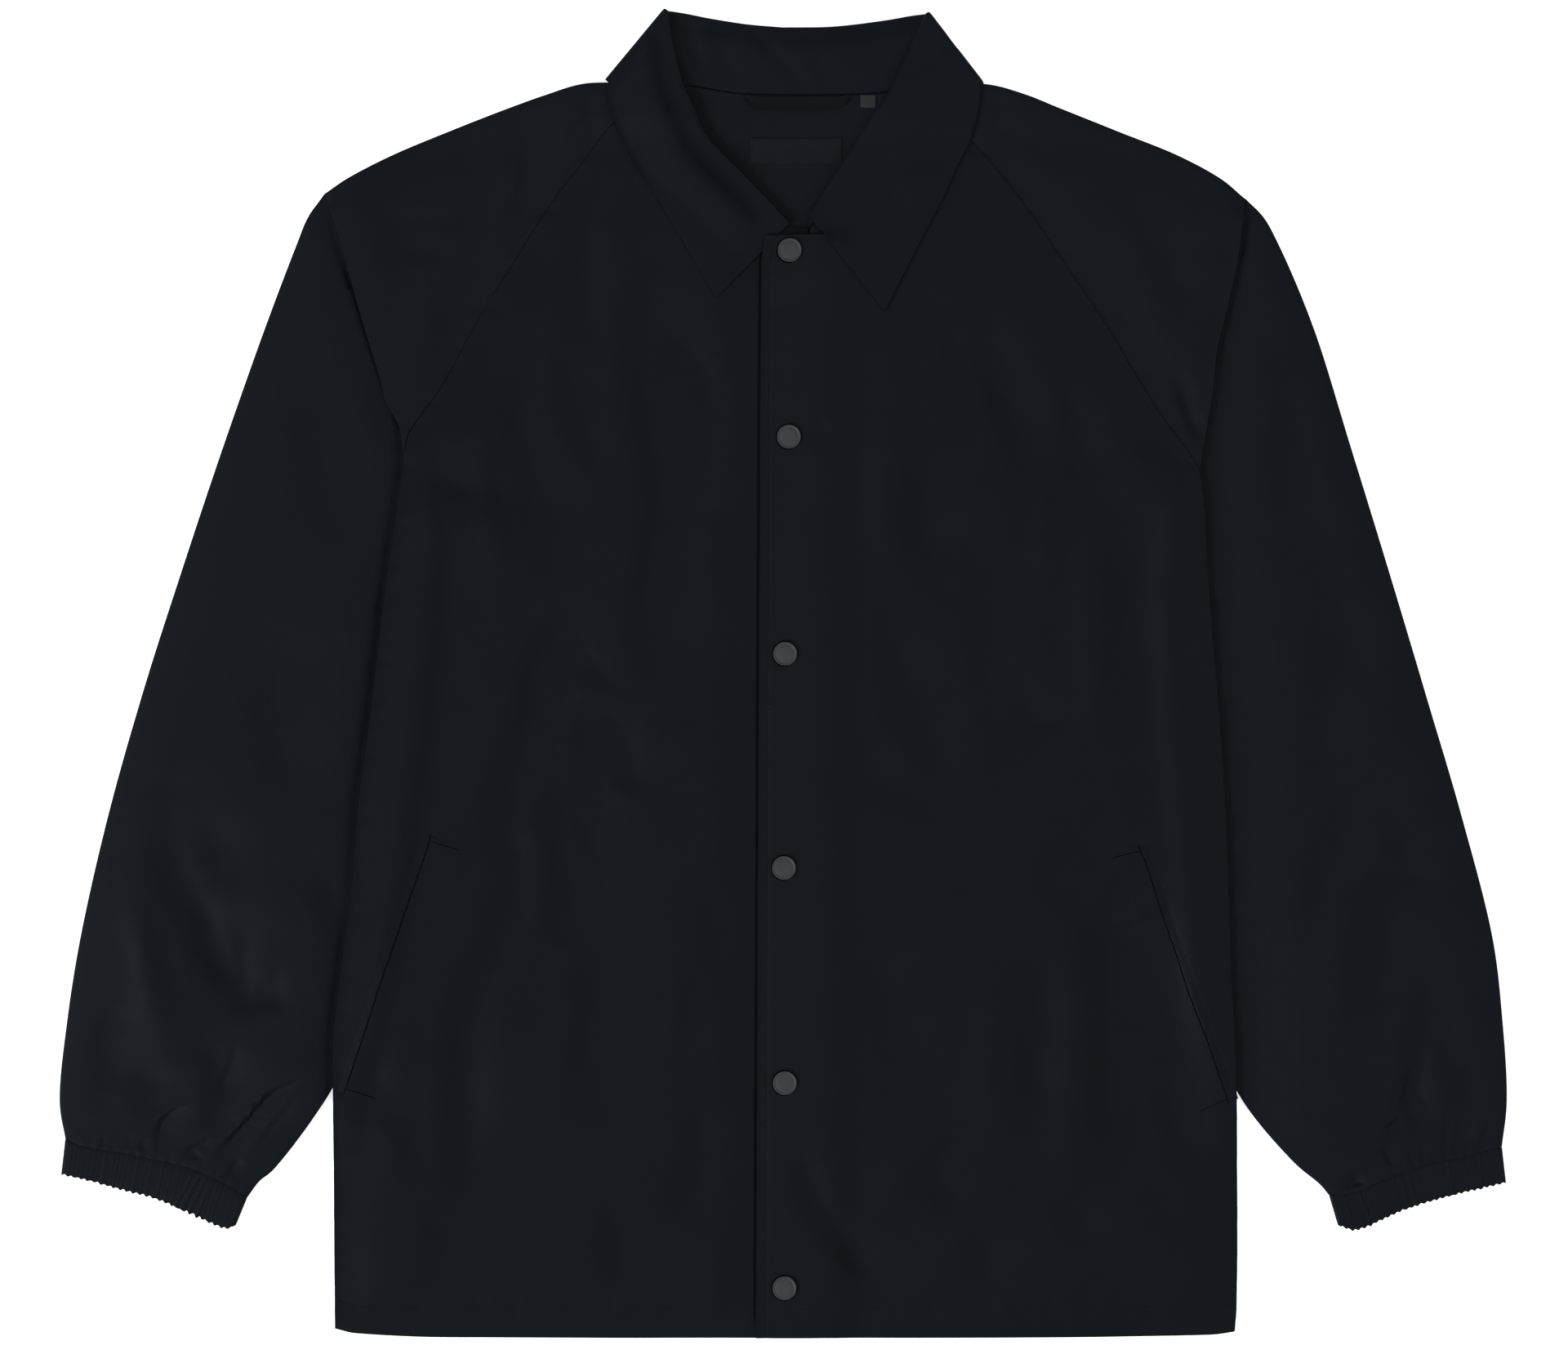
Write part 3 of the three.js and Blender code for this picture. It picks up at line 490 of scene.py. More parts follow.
def body_levels(top, edge_rows, step, *fixed):
    """The rows of a body panel, from the hem's close ones upwards, with some at fixed heights."""
    start = HEM_LEVEL + edge_rows[-1]
    even = np.linspace(start, top, int((top - start) / step) + 1)
    even = [y for y in even if all(abs(y - f) > 0.45 * step for f in fixed)]
    return np.array(sorted([*(HEM_LEVEL + np.array(edge_rows[:-1])), *even, *fixed]))


def hem_drop(x, level):
    """How far a row near the bottom is moved to follow the hem's curve."""
    return (hem_at(x) - HEM_LEVEL) * (1 - smooth(0, 60, level - HEM_LEVEL))


def round_edge(away, drop, reach=2.5):
    """How far cloth goes down beside a turned edge."""
    t = np.clip(away / reach, 0, 1)
    return drop * (1 - np.sqrt(1 - (1 - t) ** 2))


right, left = CUT["right"], CUT["left"]
levels = body_levels(BACK_TOP, (0, 1, 4, 10), 6, left["armpit"][1], right["armpit"][1], NECK_ROW)
ends = []
for half in (right, left):
    above = half["back_raglan_at"](levels) - SEAM_GAP
    ends.append(np.where(levels >= half["armpit"][1], above, half["side_at"](levels)))
x = across(-ends[0], ends[1], EDGE_STEPS, EDGE_STEPS, COLUMNS)
y = levels[:, None] + hem_drop(x, levels[:, None])
y[-1] = back_neck_at(x[-1])
lift = np.maximum(side_lift(right, -x, y), side_lift(left, x, y))
flatness = smooth(0, 40, np.minimum(x - x[:, :1], x[:, -1:] - x)) * smooth(-404, -360, y)
hollow = creases(BACK_CREASES, x, y) * flatness * (1 - smooth(240, 300, y))
back_grid = np.stack([x, y, LOWER + lift + neck_lift(x, y) + hollow], -1)
back = cloth_piece("back", back_grid, grain(back_grid))
finish_cloth(back, black_cloth, "shell_cloth", "back_panel")


# The sleeves' back halves
# Each raglan sleeve is cut as a front and a back half, sewn over the shoulder and under the arm.
# The back half lies on the table, and only its edges show beside the front half.
SLEEVE_BACK_CREASES = {
    "right": [(24, 0.45, (300, 200), (320, 60), (350, -60)), (22, 0.4, (290, 20), (330, -160)),
              (16, 0.5, (360, -180), (352, -290)), (14, 0.4, (400, -150), (404, -280))],
    "left": [(24, 0.4, (310, 180), (330, 40), (352, -80)), (20, 0.45, (280, 40), (300, -120)),
             (16, 0.4, (350, -170), (344, -290)), (14, 0.45, (398, -130), (408, -270))],
}
CUFF_SEAM = {
    "right": [(328.5, -321), (340, -313.5), (361, -303.5), (387.5, -297), (404.5, -293.5),
              (430, -289), (439.5, -285)],
    "left": [(334.5, -319.5), (350, -318), (366, -311), (377, -306.5), (396, -300),
             (414.5, -296.5), (440, -290)],
}
SLEEVE_TURN = {"right": -14, "left": 14}  # how far each sleeve's threads turn from the body's


def shoulder_rows(half, inner_line, top, step):
    """The two ends of each row from the neck down to the armpit and the tip of the shoulder."""
    bottom = half["armpit"][1]
    y = np.linspace(top, bottom, int((top - bottom) / step) + 1)
    inner = np.stack([half[inner_line + "_at"](y) + SEAM_GAP, y], -1)
    outer = path_through(half["shoulder"])((top - y) / (top - bottom))
    return inner, outer


def arm_rows(half, count, start=0.0, close=0):
    """The two ends of each row from the armpit and the tip of the shoulder down to the cuff, with
    some closer rows at its end."""
    share = np.linspace(start, 0.8 if close else 1, count + 1)[1:]
    share = np.concatenate([share, np.linspace(0.8, 1, close + 1)[1:]])
    return share, path_through(half["under"])(share), path_through(half["outer"])(share)


def between_ends(inner, outer, from_inner, from_outer, count):
    """Points on straight rows between their two ends, and how far along its row each one is."""
    width = np.linalg.norm(outer - inner, axis=1)
    share = across(np.zeros(len(width)), width, from_inner, from_outer, count) / width[:, None]
    points = inner[:, None] * (1 - share[..., None]) + outer[:, None] * share[..., None]
    return points, share, width[:, None]


def cuff_bow(name, share):
    """How far the cuff's seam bows away from a straight line between its ends."""
    seam = path_through(CUFF_SEAM[name])
    return seam(share) - (seam(0) * (1 - share[..., None]) + seam(1) * share[..., None])


for name, half in CUT.items():
    inner, outer = shoulder_rows(half, "back_raglan", half["back_raglan"][0][0], 7)
    down, under, out = arm_rows(half, 84)
    xy, share, width = between_ends(np.vstack([inner, under]), np.vstack([outer, out]),
                                    (0, 1, 3), (0, 1, 3), 26)
    bow = smooth(0.88, 1, np.concatenate([np.zeros(len(inner)), down]))[:, None, None]
    xy = xy + cuff_bow(name, share) * bow
    x, y = xy[..., 0], xy[..., 1]
    middle = smooth(0, 0.2, share) * (1 - smooth(0.8, 1, share))
    hollow = creases(SLEEVE_BACK_CREASES[name], x, y, half["sign"]) * middle
    edge = 0.35 * (1 - smooth(0, 4, (1 - share) * width))
    grid = np.stack([half["sign"] * x, y, LOWER + neck_lift(x, y) + hollow + edge], -1)
    sleeve_back = cloth_piece(name + "_sleeve_back_half", grid, grain(grid, SLEEVE_TURN[name]))
    finish_cloth(sleeve_back, sheen_painted_sleeve_cloth, "shell_cloth", name + "_sleeve_back")


# The fronts
# Two panels with a turned edge down the centre, stitched 6 mm from it, and a stitched hem. The
# wearer's left front lies over the right one. Wear and packing left long soft troughs in both.
EDGE_STITCH = 6
HEM_STITCH = 18
NECK_END = 347.5    # height in the picture at which the fronts and the raglan seams end
FRONT_CREASES = {
    "right": [
        (20, -1.7, (118, 318), (127, 262), (130, 225), (120, 180)),
        (26, 1.0, (104, 300), (108, 240), (112, 190)),
        (24, -2.5, (84, 250), (92, 200), (84, 152), (78, 110), (86, 60), (92, -16)),
        (16, -1.1, (72, 210), (66, 150), (58, 100)),
        (20, -1.3, (168, 200), (166, 150), (155, 95), (146, 66)),
        (16, -0.9, (140, 205), (130, 150), (112, 116)),
        (18, 0.8, (186, 170), (182, 110), (172, 60)),
        (20, -1.4, (231, 113), (205, 110), (178, 103), (160, 99)),
        (22, 0.8, (225, 88), (190, 84), (160, 70)),
        (26, -2.7, (108, 46), (136, 30), (154, 2), (160, -40), (172, -70), (180, -98)),
        (24, -2.0, (177, -96), (170, -125), (176, -160), (196, -196), (204, -240), (202, -300),
         (208, -340)),
        (20, 0.9, (120, 20), (128, -30), (150, -90), (150, -140), (172, -210), (178, -290)),
        (17, -1.4, (130, -26), (110, -56), (84, -76)),
        (18, -1.0, (119, -150), (123, -200), (130, -262)),
        (18, -1.1, (120, 0), (124, -100), (118, -140)),
        (15, -1.2, (256, -236), (252, -262), (240, -282)),
        (20, -0.9, (150, -60), (140, -120), (133, -180)),
        (20, -1.0, (60, -260), (58, -300), (76, -338)),
        (16, -0.9, (110, -328), (108, -372)),
        (22, -0.8, (214, -330), (222, -380)),
        (18, 0.7, (232, -200), (240, -260), (236, -330)),
        (20, -0.7, (40, 130), (36, 60), (46, 0)),
        (16, -0.6, (50, -130), (44, -190)),
        (14, 0.6, (62, -180), (70, -230)),
    ],
    "left": [
        (20, -1.3, (80, 145), (80, 110), (79, 82), (92, 50)),
        (20, -1.5, (112, 230), (126, 176), (142, 130), (146, 90)),
        (15, -1.2, (169, 182), (175, 140), (176, 110)),
        (20, -1.4, (208, 92), (205, 35), (209, -30)),
        (16, 0.8, (190, 96), (188, 30), (192, -30)),
        (14, -0.8, (236, 70), (240, 0), (243, -60)),
        (15, -0.9, (143, -14), (146, -40)),
        (22, -1.1, (60, 30), (72, -30), (96, -66)),
        (24, -2.2, (166, -144), (184, -152), (193, -180), (196, -234), (193, -306)),
        (20, 0.9, (176, -170), (176, -240), (172, -310)),
        (17, -1.4, (220, -186), (224, -240), (238, -286), (250, -312)),
        (18, -1.6, (151, -184), (147, -232), (148, -278)),
        (20, 0.8, (132, -190), (126, -250), (128, -290)),
        (17, -2.0, (4, -292), (12, -320), (31, -348), (54, -384)),
        (20, 1.0, (24, -292), (34, -326), (58, -356)),
        (18, -1.2, (75, -308), (106, -330)),
        (6, -0.9, (13, 145), (25, 155)),
        (16, -0.9, (96, 214), (104, 180), (100, 150)),
        (18, -0.8, (32, -70), (100, -88)),
        (15, -0.8, (171, -328), (176, -352)),
        (16, -0.8, (112, -346), (118, -372)),
        (18, 0.8, (70, 170), (64, 110), (66, 60)),
        (20, -0.7, (120, 60), (118, 0), (126, -60)),
        (14, 0.7, (160, 120), (162, 60)),
        (22, -0.8, (46, -170), (60, -230)),
    ],
}
FRONT_LOFT = 2.7    # how far the front's middle stands off the back
GROOVE = 0.22       # depth of the line along a row of stitches
LAP_GROOVE = 0.75   # the under front sinks a trace beside the upper front's edge
NOTCH_DEPTH = 0.8   # and more where it goes under the collar at the middle
MOUTH_DEPTH = 1.0   # the pocket mouth's hollow under the welt's edge
MOUTH_WIDTH = 3.2
TUCK_RISE = 3.5     # how far the shoulder rises towards its tuck
COLLAR_END_RISE = 1.8  # and the upper front's corner over the end of the under front's collar
WELTS = {
    "right": [(215.5, -99.8), (268.5, -257), (194.5, -106.3), (248, -264)],
    "left": [(217.5, -105.8), (272.5, -263), (197, -110.8), (254, -272)],
}


def edge_curl(away, rise=0.25, reach=1.4):
    """A pressed edge that faces the viewer's left stands up a trace at its fold."""
    return rise * np.exp(-(away / reach) ** 2)


def tuck_lift(half, x, y):
    """The shoulder rises towards the tuck, where it folds over the sleeve."""
    away = distance_to([half["armpit"], half["tuck"][-1]], x, y)[0]
    return TUCK_RISE * (1 - smooth(0, 75, away))


def lap_lift(x, y):
    """The upper front lies on the under front at the centre, and its corner on the collar's end."""
    corner = 1 - smooth(20, 40, np.hypot(x + 4, y - 263))
    return LAYER * (1 - smooth(28, 48, x)) + COLLAR_END_RISE * corner


def front_height(name, x, y, inner, outer):
    """The height of a front's middle over the table, between its inner and its outer edge."""
    half = CUT[name]
    from_inner, from_outer = x - inner, outer - x
    from_hem = y - hem_at(half["sign"] * x)
    slope = 30 + 36 * smooth(-10, 40, y - half["armpit"][1])
    free = smooth(2, 40, from_inner) * smooth(0, 1, from_outer / slope) * smooth(4, 40, from_hem)
    lap = smooth(14, 44, x) if name == "right" else 1
    soft = 2.0 * creases(FRONT_CREASES[name], x, y, half["sign"])
    level = (FRONT_LOFT * free + soft * (0.35 + 0.65 * free) + slack(x, y, half["sign"])) * lap
    lifted = np.maximum(side_lift(half, x, y), tuck_lift(half, x, y)) + level + pucker(from_outer, y)
    lifted += pucker(from_inner - EDGE_STITCH, y + 60, 5, 0.08) * lap
    lifted += pucker(from_hem - HEM_STITCH, x, 7, 0.12)
    for away in (from_inner - EDGE_STITCH, from_hem - HEM_STITCH):
        lifted -= GROOVE * np.exp(-(away / 0.7) ** 2)
    if name == "right":
        beside_lap = x + CUT["left"]["front_edge_at"](y)
        groove = LAP_GROOVE * smooth(-2.5, -0.6, beside_lap) * (1 - smooth(0.7, 1.9, beside_lap))
        lifted -= groove * smooth(10, 16, from_hem)
        lifted -= NOTCH_DEPTH * np.exp(-(x / 15) ** 2 - ((y - 271) / 3.5) ** 2)
    opening = distance_to(WELTS[name][:2], x, y)[0]
    lifted -= MOUTH_DEPTH * np.exp(-(opening / MOUTH_WIDTH) ** 2)
    on_side = smooth(0, 6, half["armpit"][1] - y)
    pressed_down = on_side if name == "left" else 1 - on_side
    lifted -= round_edge(from_outer, 0.5, 1.8) * pressed_down
    lifted += edge_curl(from_outer, 0.4, 2) * on_side * (name == "right") + edge_curl(from_inner)
    lifted -= round_edge(from_hem, 0.9, 5.5)
    over = lap_lift(x, y) if name == "left" else 0
    return UPPER + neck_lift(x, y) + np.maximum(lifted, -0.6) + over


INNER_STEPS = (0, 0.4, 1, 2, 3.6, 5, 5.5, 6, 6.5, 7, 8.5)
LAP_STEPS = (0, 0.8, 1.3, 1.8, 2.3, 2.7, 3.1, 3.5, 4.2, 5.5)
HEM_STEPS = (0, 0.5, 1.2, 3, 6, 10, 14, 17, 17.5, 18, 18.5, 19, 21)
front_grids = {}
front_edges = {}
for name, half in CUT.items():
    levels = body_levels(NECK_END, HEM_STEPS, 3, half["front_top"], half["front_top"] + 0.8,
                         half["armpit"][1])
    inner = np.where(levels <= half["front_top"], half["front_edge_at"](levels),
                     half["neck_at"](levels) + 1.2)
    outer = np.where(levels >= half["armpit"][1], half["raglan_at"](levels) - SEAM_GAP,
                     half["side_at"](levels))
    if name == "right":
        lap_edge = np.minimum(-CUT["left"]["front_edge_at"](levels), outer - 40)
        lap_edge = np.maximum(lap_edge, inner + 20)
        x = np.concatenate([across(inner, lap_edge - 2.6, INNER_STEPS, (0, 1), 18),
                            across(lap_edge - 1.6, outer, LAP_STEPS, EDGE_STEPS, 74)], axis=1)
    else:
        x = across(inner, outer, INNER_STEPS, EDGE_STEPS, COLUMNS)
    y = levels[:, None] + hem_drop(half["sign"] * x, levels[:, None])
    z = front_height(name, x, y, inner[:, None], outer[:, None])
    front_grids[name] = np.stack([half["sign"] * x, y, z], -1)
    front_edges[name] = (levels, inner)
    front = cloth_piece(name + "_front_panel", front_grids[name], grain(front_grids[name]))
    finish_cloth(front, black_cloth, "shell_cloth", name + "_front")


# The shoulders and the sleeves' front halves
# Each front half runs from the neck over the shoulder, folds back on itself in a tuck at armpit
# height, and goes on as the sleeve, full and rounded at its outer edge, gathered into the cuff.
SLEEVE_CREASES = {
    "right": [
        (18, -3.0, (160, 334), (158, 306), (164, 276)),
        (9, -3.2, (118, 358), (124, 340), (136, 316)),
        (22, 0.8, (190, 290), (215, 230), (225, 190)),
        (20, -0.8, (240, 290), (246, 250)),
        (26, -0.9, (300, 200), (292, 120), (280, 60)),
        (24, -2.0, (384, -78), (378, -116), (362, -160), (347, -204)),
        (16, -1.4, (362, -134), (352, -168), (340, -200)),
        (22, 1.2, (368, -90), (350, -140), (330, -190)),
        (20, 1.2, (396, -130), (388, -190), (374, -240)),
        (18, -1.2, (340, -206), (316, -204), (297, -201)),
        (20, 0.4, (330, -184), (312, -182), (300, -180)),
        (20, -1.2, (300, -120), (276, -150), (262, -190)),
        (24, -1.0, (330, 40), (318, -40), (306, -90)),
        (16, -1.2, (356, -226), (350, -262), (358, -286)),
        (22, -1.0, (398, -240), (392, -276)),
        (14, -1.0, (420, -200), (424, -260)),
    ],
    "left": [
        (8, -2.4, (134, 357), (129, 343), (124, 328)),
        (6, -2.4, (238, 181), (244, 162), (253, 138)),
        (20, 0.8, (200, 290), (230, 220), (246, 180)),
        (18, -0.9, (228, 270), (236, 224)),
        (26, -0.9, (304, 190), (300, 120), (290, 50)),
        (22, -1.7, (366, -144), (356, -178), (348, -210)),
        (20, 1.0, (350, -120), (338, -180), (336, -214)),
        (18, -2.2, (389, -196), (381, -250), (378, -286)),
        (14, -1.2, (416, -230), (411, -280)),
        (14, 0.9, (400, -220), (396, -270)),
        (22, -1.0, (342, -76), (326, -112), (318, -150)),
        (20, -0.9, (376, -90), (364, -130)),
        (24, -0.9, (332, 50), (326, -20), (318, -70)),
        (16, -1.1, (424, -130), (432, -190), (430, -250)),
    ],
}
SLEEVE_FOLDS = {
    "right": [
        (2.2, 11, (353, -303), (341, -288), (328.5, -273), (315, -257), (300, -249), (288, -244)),
        (0.7, 6, (327, -296), (311, -273), (296, -255), (282, -240)),
        (1.5, 7, (387.5, -293), (384.5, -281), (379, -272.5), (373, -268), (364, -266)),
        (0.9, 5, (372, -301), (365, -296), (357, -291), (351, -288)),
        (0.8, 5, (343, -311), (338, -303), (334, -298)), (0.5, 4, (404, -294), (402, -284)),
        (0.5, 4, (418, -292), (417, -283)), (0.5, 4, (396, -296), (393, -287)),
        (0.6, 5, (365, -303), (361, -297)), (0.6, 9, (350, -262), (340, -240), (336, -222)),
    ],
    "left": [
        (1.3, 8, (366, -279), (372, -276), (377, -271)),
        (1.1, 5, (342, -315), (351, -310.5), (358, -311.5)),
        (0.9, 7, (374.5, -305), (369, -298), (363, -286)),
        (1.1, 8, (409, -296), (413, -278), (416.5, -262)),
        (0.9, 7, (424, -296), (428, -282), (433, -271)),
        (0.8, 5, (404, -297), (405.5, -268)), (0.6, 4, (390, -301), (392, -290)),
        (0.6, 4, (383, -304), (384, -294)), (0.7, 5, (352, -315), (345, -303)),
        (0.8, 9, (374, -270), (380.5, -252), (387, -236)),
    ],
}
TUCK = [(0, TUCK_RISE), (0.25, 3.2), (0.3, 2.6), (0, 2.0), (-1.0, 1.6), (-4.6, 1.5), (-5.6, 1.15),
        (-5.8, 0.8), (-5.5, 0.4), (-4.4, 0.08), (-2, 0), (3, 0)]
FOLD_LENGTH = 168
ARM_LENGTH = 620    # from the tuck to the cuff
EDGE_SINK = 0.75    # how far a sleeve's outer edge rounds down
EDGE_REACH = 8
PUFF = 4.6          # how far the sleeve's middle stands up
SIDE_DIP = {  # start, end and share of the sleeve's rise beside the body's side
    "right": [(0.5, 9, 0.6), (1, 24, 0.4)],
    "left": [(10, 44, 1.0)],
}
TUCK_DIP = {  # the same below the tuck, as shares of the sleeve's length
    "right": [(0, 0.025, 0.5), (0, 0.09, 0.5)],
    "left": [(0, 0.03, 0.35), (0, 0.16, 0.65)],
}
FULLNESS = {  # share of the cuff's seam, half width, length up the sleeve and rise of its gathers
    "right": [(0.04, 2.2, 9, 0.4), (0.10, 1.8, 12, 0.5), (0.165, 2.4, 14, 0.5), (0.23, 2.0, 9, 0.4),
              (0.30, 2.4, 11, 0.5), (0.355, 1.8, 7, 0.5), (0.41, 2.2, 12, 0.6), (0.47, 1.8, 8, 0.5),
              (0.535, 2.4, 14, 0.5), (0.60, 1.8, 8, 0.6), (0.655, 2.2, 13, 0.5),
              (0.71, 1.8, 7, 0.4), (0.77, 2.2, 9, 0.5), (0.83, 1.8, 12, 0.4), (0.89, 2, 7, 0.4)],
    "left": [(0.05, 2.0, 8, 0.4), (0.11, 2.4, 14, 0.5), (0.17, 1.8, 10, 0.5), (0.225, 2.2, 16, 0.5),
             (0.29, 1.8, 9, 0.5), (0.345, 2.4, 12, 0.5), (0.41, 1.8, 7, 0.5), (0.465, 2.4, 14, 0.6),
             (0.53, 1.8, 9, 0.5), (0.59, 2.2, 12, 0.5), (0.65, 1.8, 14, 0.6), (0.715, 2.2, 9, 0.5),
             (0.775, 1.8, 13, 0.5), (0.83, 2.2, 8, 0.5), (0.89, 1.8, 11, 0.5), (0.95, 2, 7, 0.4)],
}


def steps_up(table, away):
    """A rise from 0 to 1 in the steps of a table."""
    return sum(share * smooth(start, end, away) for start, end, share in table)


def gathers(name, share, width, to_cuff):
    """The cloth's fullness where it is drawn into the cuff."""
    height = np.zeros(np.broadcast(share, to_cuff).shape)
    for place, half_width, length, rise in FULLNESS[name]:
        fan = (share - place) * width / (half_width * (1 + to_cuff / length))
        height += rise * np.exp(-fan**2) * np.exp(-(to_cuff / length) ** 2)
    return height


def shoulder_part(name, half):
    """The front half from the neck down to the tuck's line, and how far along it each column is."""
    inner, outer = shoulder_rows(half, "raglan", NECK_END, 3)
    xy, share, width = between_ends(inner, outer, EDGE_STEPS, EDGE_STEPS, COLUMNS)
    x, y = xy[..., 0], xy[..., 1]
    from_seam, from_outer = share * width, (1 - share) * width
    free = smooth(0, 44, from_seam) * smooth(0, 24, from_outer) * (1 - smooth(300, 335, y))
    rise = neck_lift(x, y) + tuck_lift(half, x, y) + 1.6 * np.sin(np.pi * share) * free
    soft = creases(SLEEVE_CREASES[name], x, y, half["sign"]) * smooth(-8, 12, from_seam)
    rise += 1.6 * soft * (0.3 + 0.7 * free)
    rise += slack(x, y, 2.0) * free
    rise += pucker(from_seam, y) - round_edge(from_outer, EDGE_SINK, EDGE_REACH)
    rise += edge_curl(from_seam, 0.3, 1.2) * (name == "left")
    return np.stack([x, y, UPPER + np.maximum(rise, -0.75)], -1), share[-1]


def tuck_part(half, top, share):
    """The tuck, folded back under the shoulder, whose last rows are moved onto the fold's line."""
    profile = path_through(TUCK)(np.linspace(0, 1, 30))[1:]
    fold = path_through(half["tuck"])(share)
    chord = np.array(half["tuck"][-1]) - np.array(half["tuck"][0])
    out = np.array([chord[1], -chord[0]]) / np.linalg.norm(chord)
    ends = 0.25 + 0.75 * (1 - smooth(0.90, 1, share))
    sink = round_edge((1 - share) * FOLD_LENGTH, EDGE_SINK, EDGE_REACH)
    tuck_xy = fold[None] + profile[:, None, :1] * out * ends[None, :, None]
    tuck_z = UPPER + profile[:, 1:] * ends[None] - sink
    straight = np.array(half["tuck"][0]) + chord * share[:, None]
    blend = smooth(len(top) - 9, len(top) - 1, np.arange(len(top)))[:, None, None]
    top[..., :2] += (fold - straight)[None] * blend
    top[..., 2] = top[..., 2] * (1 - blend[..., 0]) + blend[..., 0] * np.minimum(
        top[..., 2], UPPER + TUCK_RISE * ends[None] - sink)
    return np.concatenate([tuck_xy, tuck_z[..., None]], -1)


def arm_part(name, half):
    """The sleeve below the tuck, full in its middle, creased, and gathered into the cuff."""
    down, under, out_end = arm_rows(half, 130, 0.008, 100)
    xy, share, width = between_ends(under, out_end, EDGE_STEPS, EDGE_STEPS, COLUMNS)
    x, y = xy[..., 0], xy[..., 1]
    down = down[:, None]
    from_under, from_outer = share * width, (1 - share) * width
    to_cuff = (1 - down) * ARM_LENGTH
    beside = steps_up(SIDE_DIP[name], x - half["side_at"](y))
    last = smooth(255, 285, -y)
    room = beside * (1 - last) + smooth(0, 30, from_under) * last
    round_off = (1 - 0.45 * smooth(0, 1, 1 - from_outer / 75)) * smooth(0, 30, from_outer) ** 0.5
    near_cuff = 0.3 + 0.7 * smooth(0, 75, to_cuff)
    puff = PUFF * steps_up(TUCK_DIP[name], down) * room * round_off * near_cuff
    soft = 2.5 * creases(SLEEVE_CREASES[name], x, y, half["sign"]) * room * smooth(0, 40, from_outer)
    soft += 1.5 * folds(SLEEVE_FOLDS[name], x, y, half["sign"]) * smooth(0, 10, from_under)
    full = gathers(name, share, width, to_cuff) * smooth(0, 5, from_under) * smooth(0, 9, from_outer)
    rise = puff + soft + full + slack(x, y, 2.0) * room * 1.3
    rise -= round_edge(from_outer, EDGE_SINK, EDGE_REACH) + round_edge(from_under, 0.6, 4) * last
    rise -= 0.15 * np.exp(-(to_cuff / 1.2) ** 2) * smooth(0, 5, from_outer)
    xy = xy + cuff_bow(name, share) * smooth(0.88, 1, down)[..., None]
    return np.concatenate([xy, (UPPER + np.maximum(rise, -0.75))[..., None]], -1)


shoulder_grids = {}
for name, half in CUT.items():
    top, fold_share = shoulder_part(name, half)
    tuck = tuck_part(half, top, fold_share)
    grid = np.concatenate([top, tuck, arm_part(name, half)])
    grid[..., 0] *= half["sign"]
    shoulder_grids[name] = grid[:len(top)]
    sleeve = cloth_piece(name + "_sleeve_front_half", grid, grain(grid, SLEEVE_TURN[name]))
    finish_cloth(sleeve, sheen_painted_sleeve_cloth, "shell_cloth", name + "_sleeve_front")


# Stitches
# Every visible row is a plain lockstitch about 3 mm long, sunk a little way into the cloth, in black
# thread, or in near-black painted shade at the welts' ends.
THREAD = 0.42
thread_finish = woven("Black sewing thread", (0.0028, 0.0035, 0.0043), (0.0060, 0.0070, 0.0080),
                      pitch=0.3, depth=0.02, rough=0.5, specular=0.16, sheen=0.0)
# A near-black finish that is painted shade: the welts' end seams and the ring under each snap cap use it.
painted_shade = woven("Painted shade in seams and under caps", (0.0008, 0.0010, 0.0013), (0.0012, 0.0015, 0.0018),
                  pitch=0.3, depth=0.02, rough=0.9, specular=0.0, sheen=0.0)


def sew(name, rows, pitch=3.0, length=2.3, finish=thread_finish):
    """One mesh of the stitches on all the rows: each is a slim bar with pointed ends."""
    points, faces = [], []
    for row in rows:
        row = np.asarray(row, float)
        run = np.concatenate([[0], np.cumsum(np.linalg.norm(np.diff(row, axis=0), axis=1))])
        count = max(1, int(run[-1] / pitch))
        for k in range(count):
            middle = (k + 0.5) * run[-1] / count
            a, b = (np.array([np.interp(middle + s * length / 2, run, row[:, i]) for i in range(3)])
                    for s in (-1, 1))
            forward = (b - a) / max(np.linalg.norm(b - a), 1e-6)
            side = np.cross(forward, (0, 0, 1))
            side /= max(np.linalg.norm(side), 1e-6)
            up = np.cross(side, forward)
            first = len(points)
            points += [a - up * THREAD * 0.3, b - up * THREAD * 0.3]
            for end, shift in ((a, forward), (b, -forward)):
                centre = end + shift * length * 0.22
                points += [centre + side * THREAD / 2, centre + up * THREAD * 0.4,
                           centre - side * THREAD / 2, centre - up * THREAD * 0.4]
            for j in range(4):
                n = (j + 1) % 4
                faces += [(first, first + 2 + n, first + 2 + j),
                          (first + 1, first + 6 + j, first + 6 + n),
                          (first + 2 + j, first + 2 + n, first + 6 + n, first + 6 + j)]
    mesh, corner = new_mesh(name, points, faces)
    stitches = new_piece(name, mesh, np.array(points)[corner][:, :2] * MM)
    mesh.materials.append(finish)
    for polygon in mesh.polygons:
        polygon.use_smooth = True
    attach(stitches, "root")


def on_top(grid, xy, lift=0.0):
    """Places in plan, put on a sheet's upper face."""
    xy = np.asarray(xy, float)
    z = height_on(grid, xy[:, 0], xy[:, 1]) + CLOTH / 2 + lift
    return np.column_stack([xy, z])


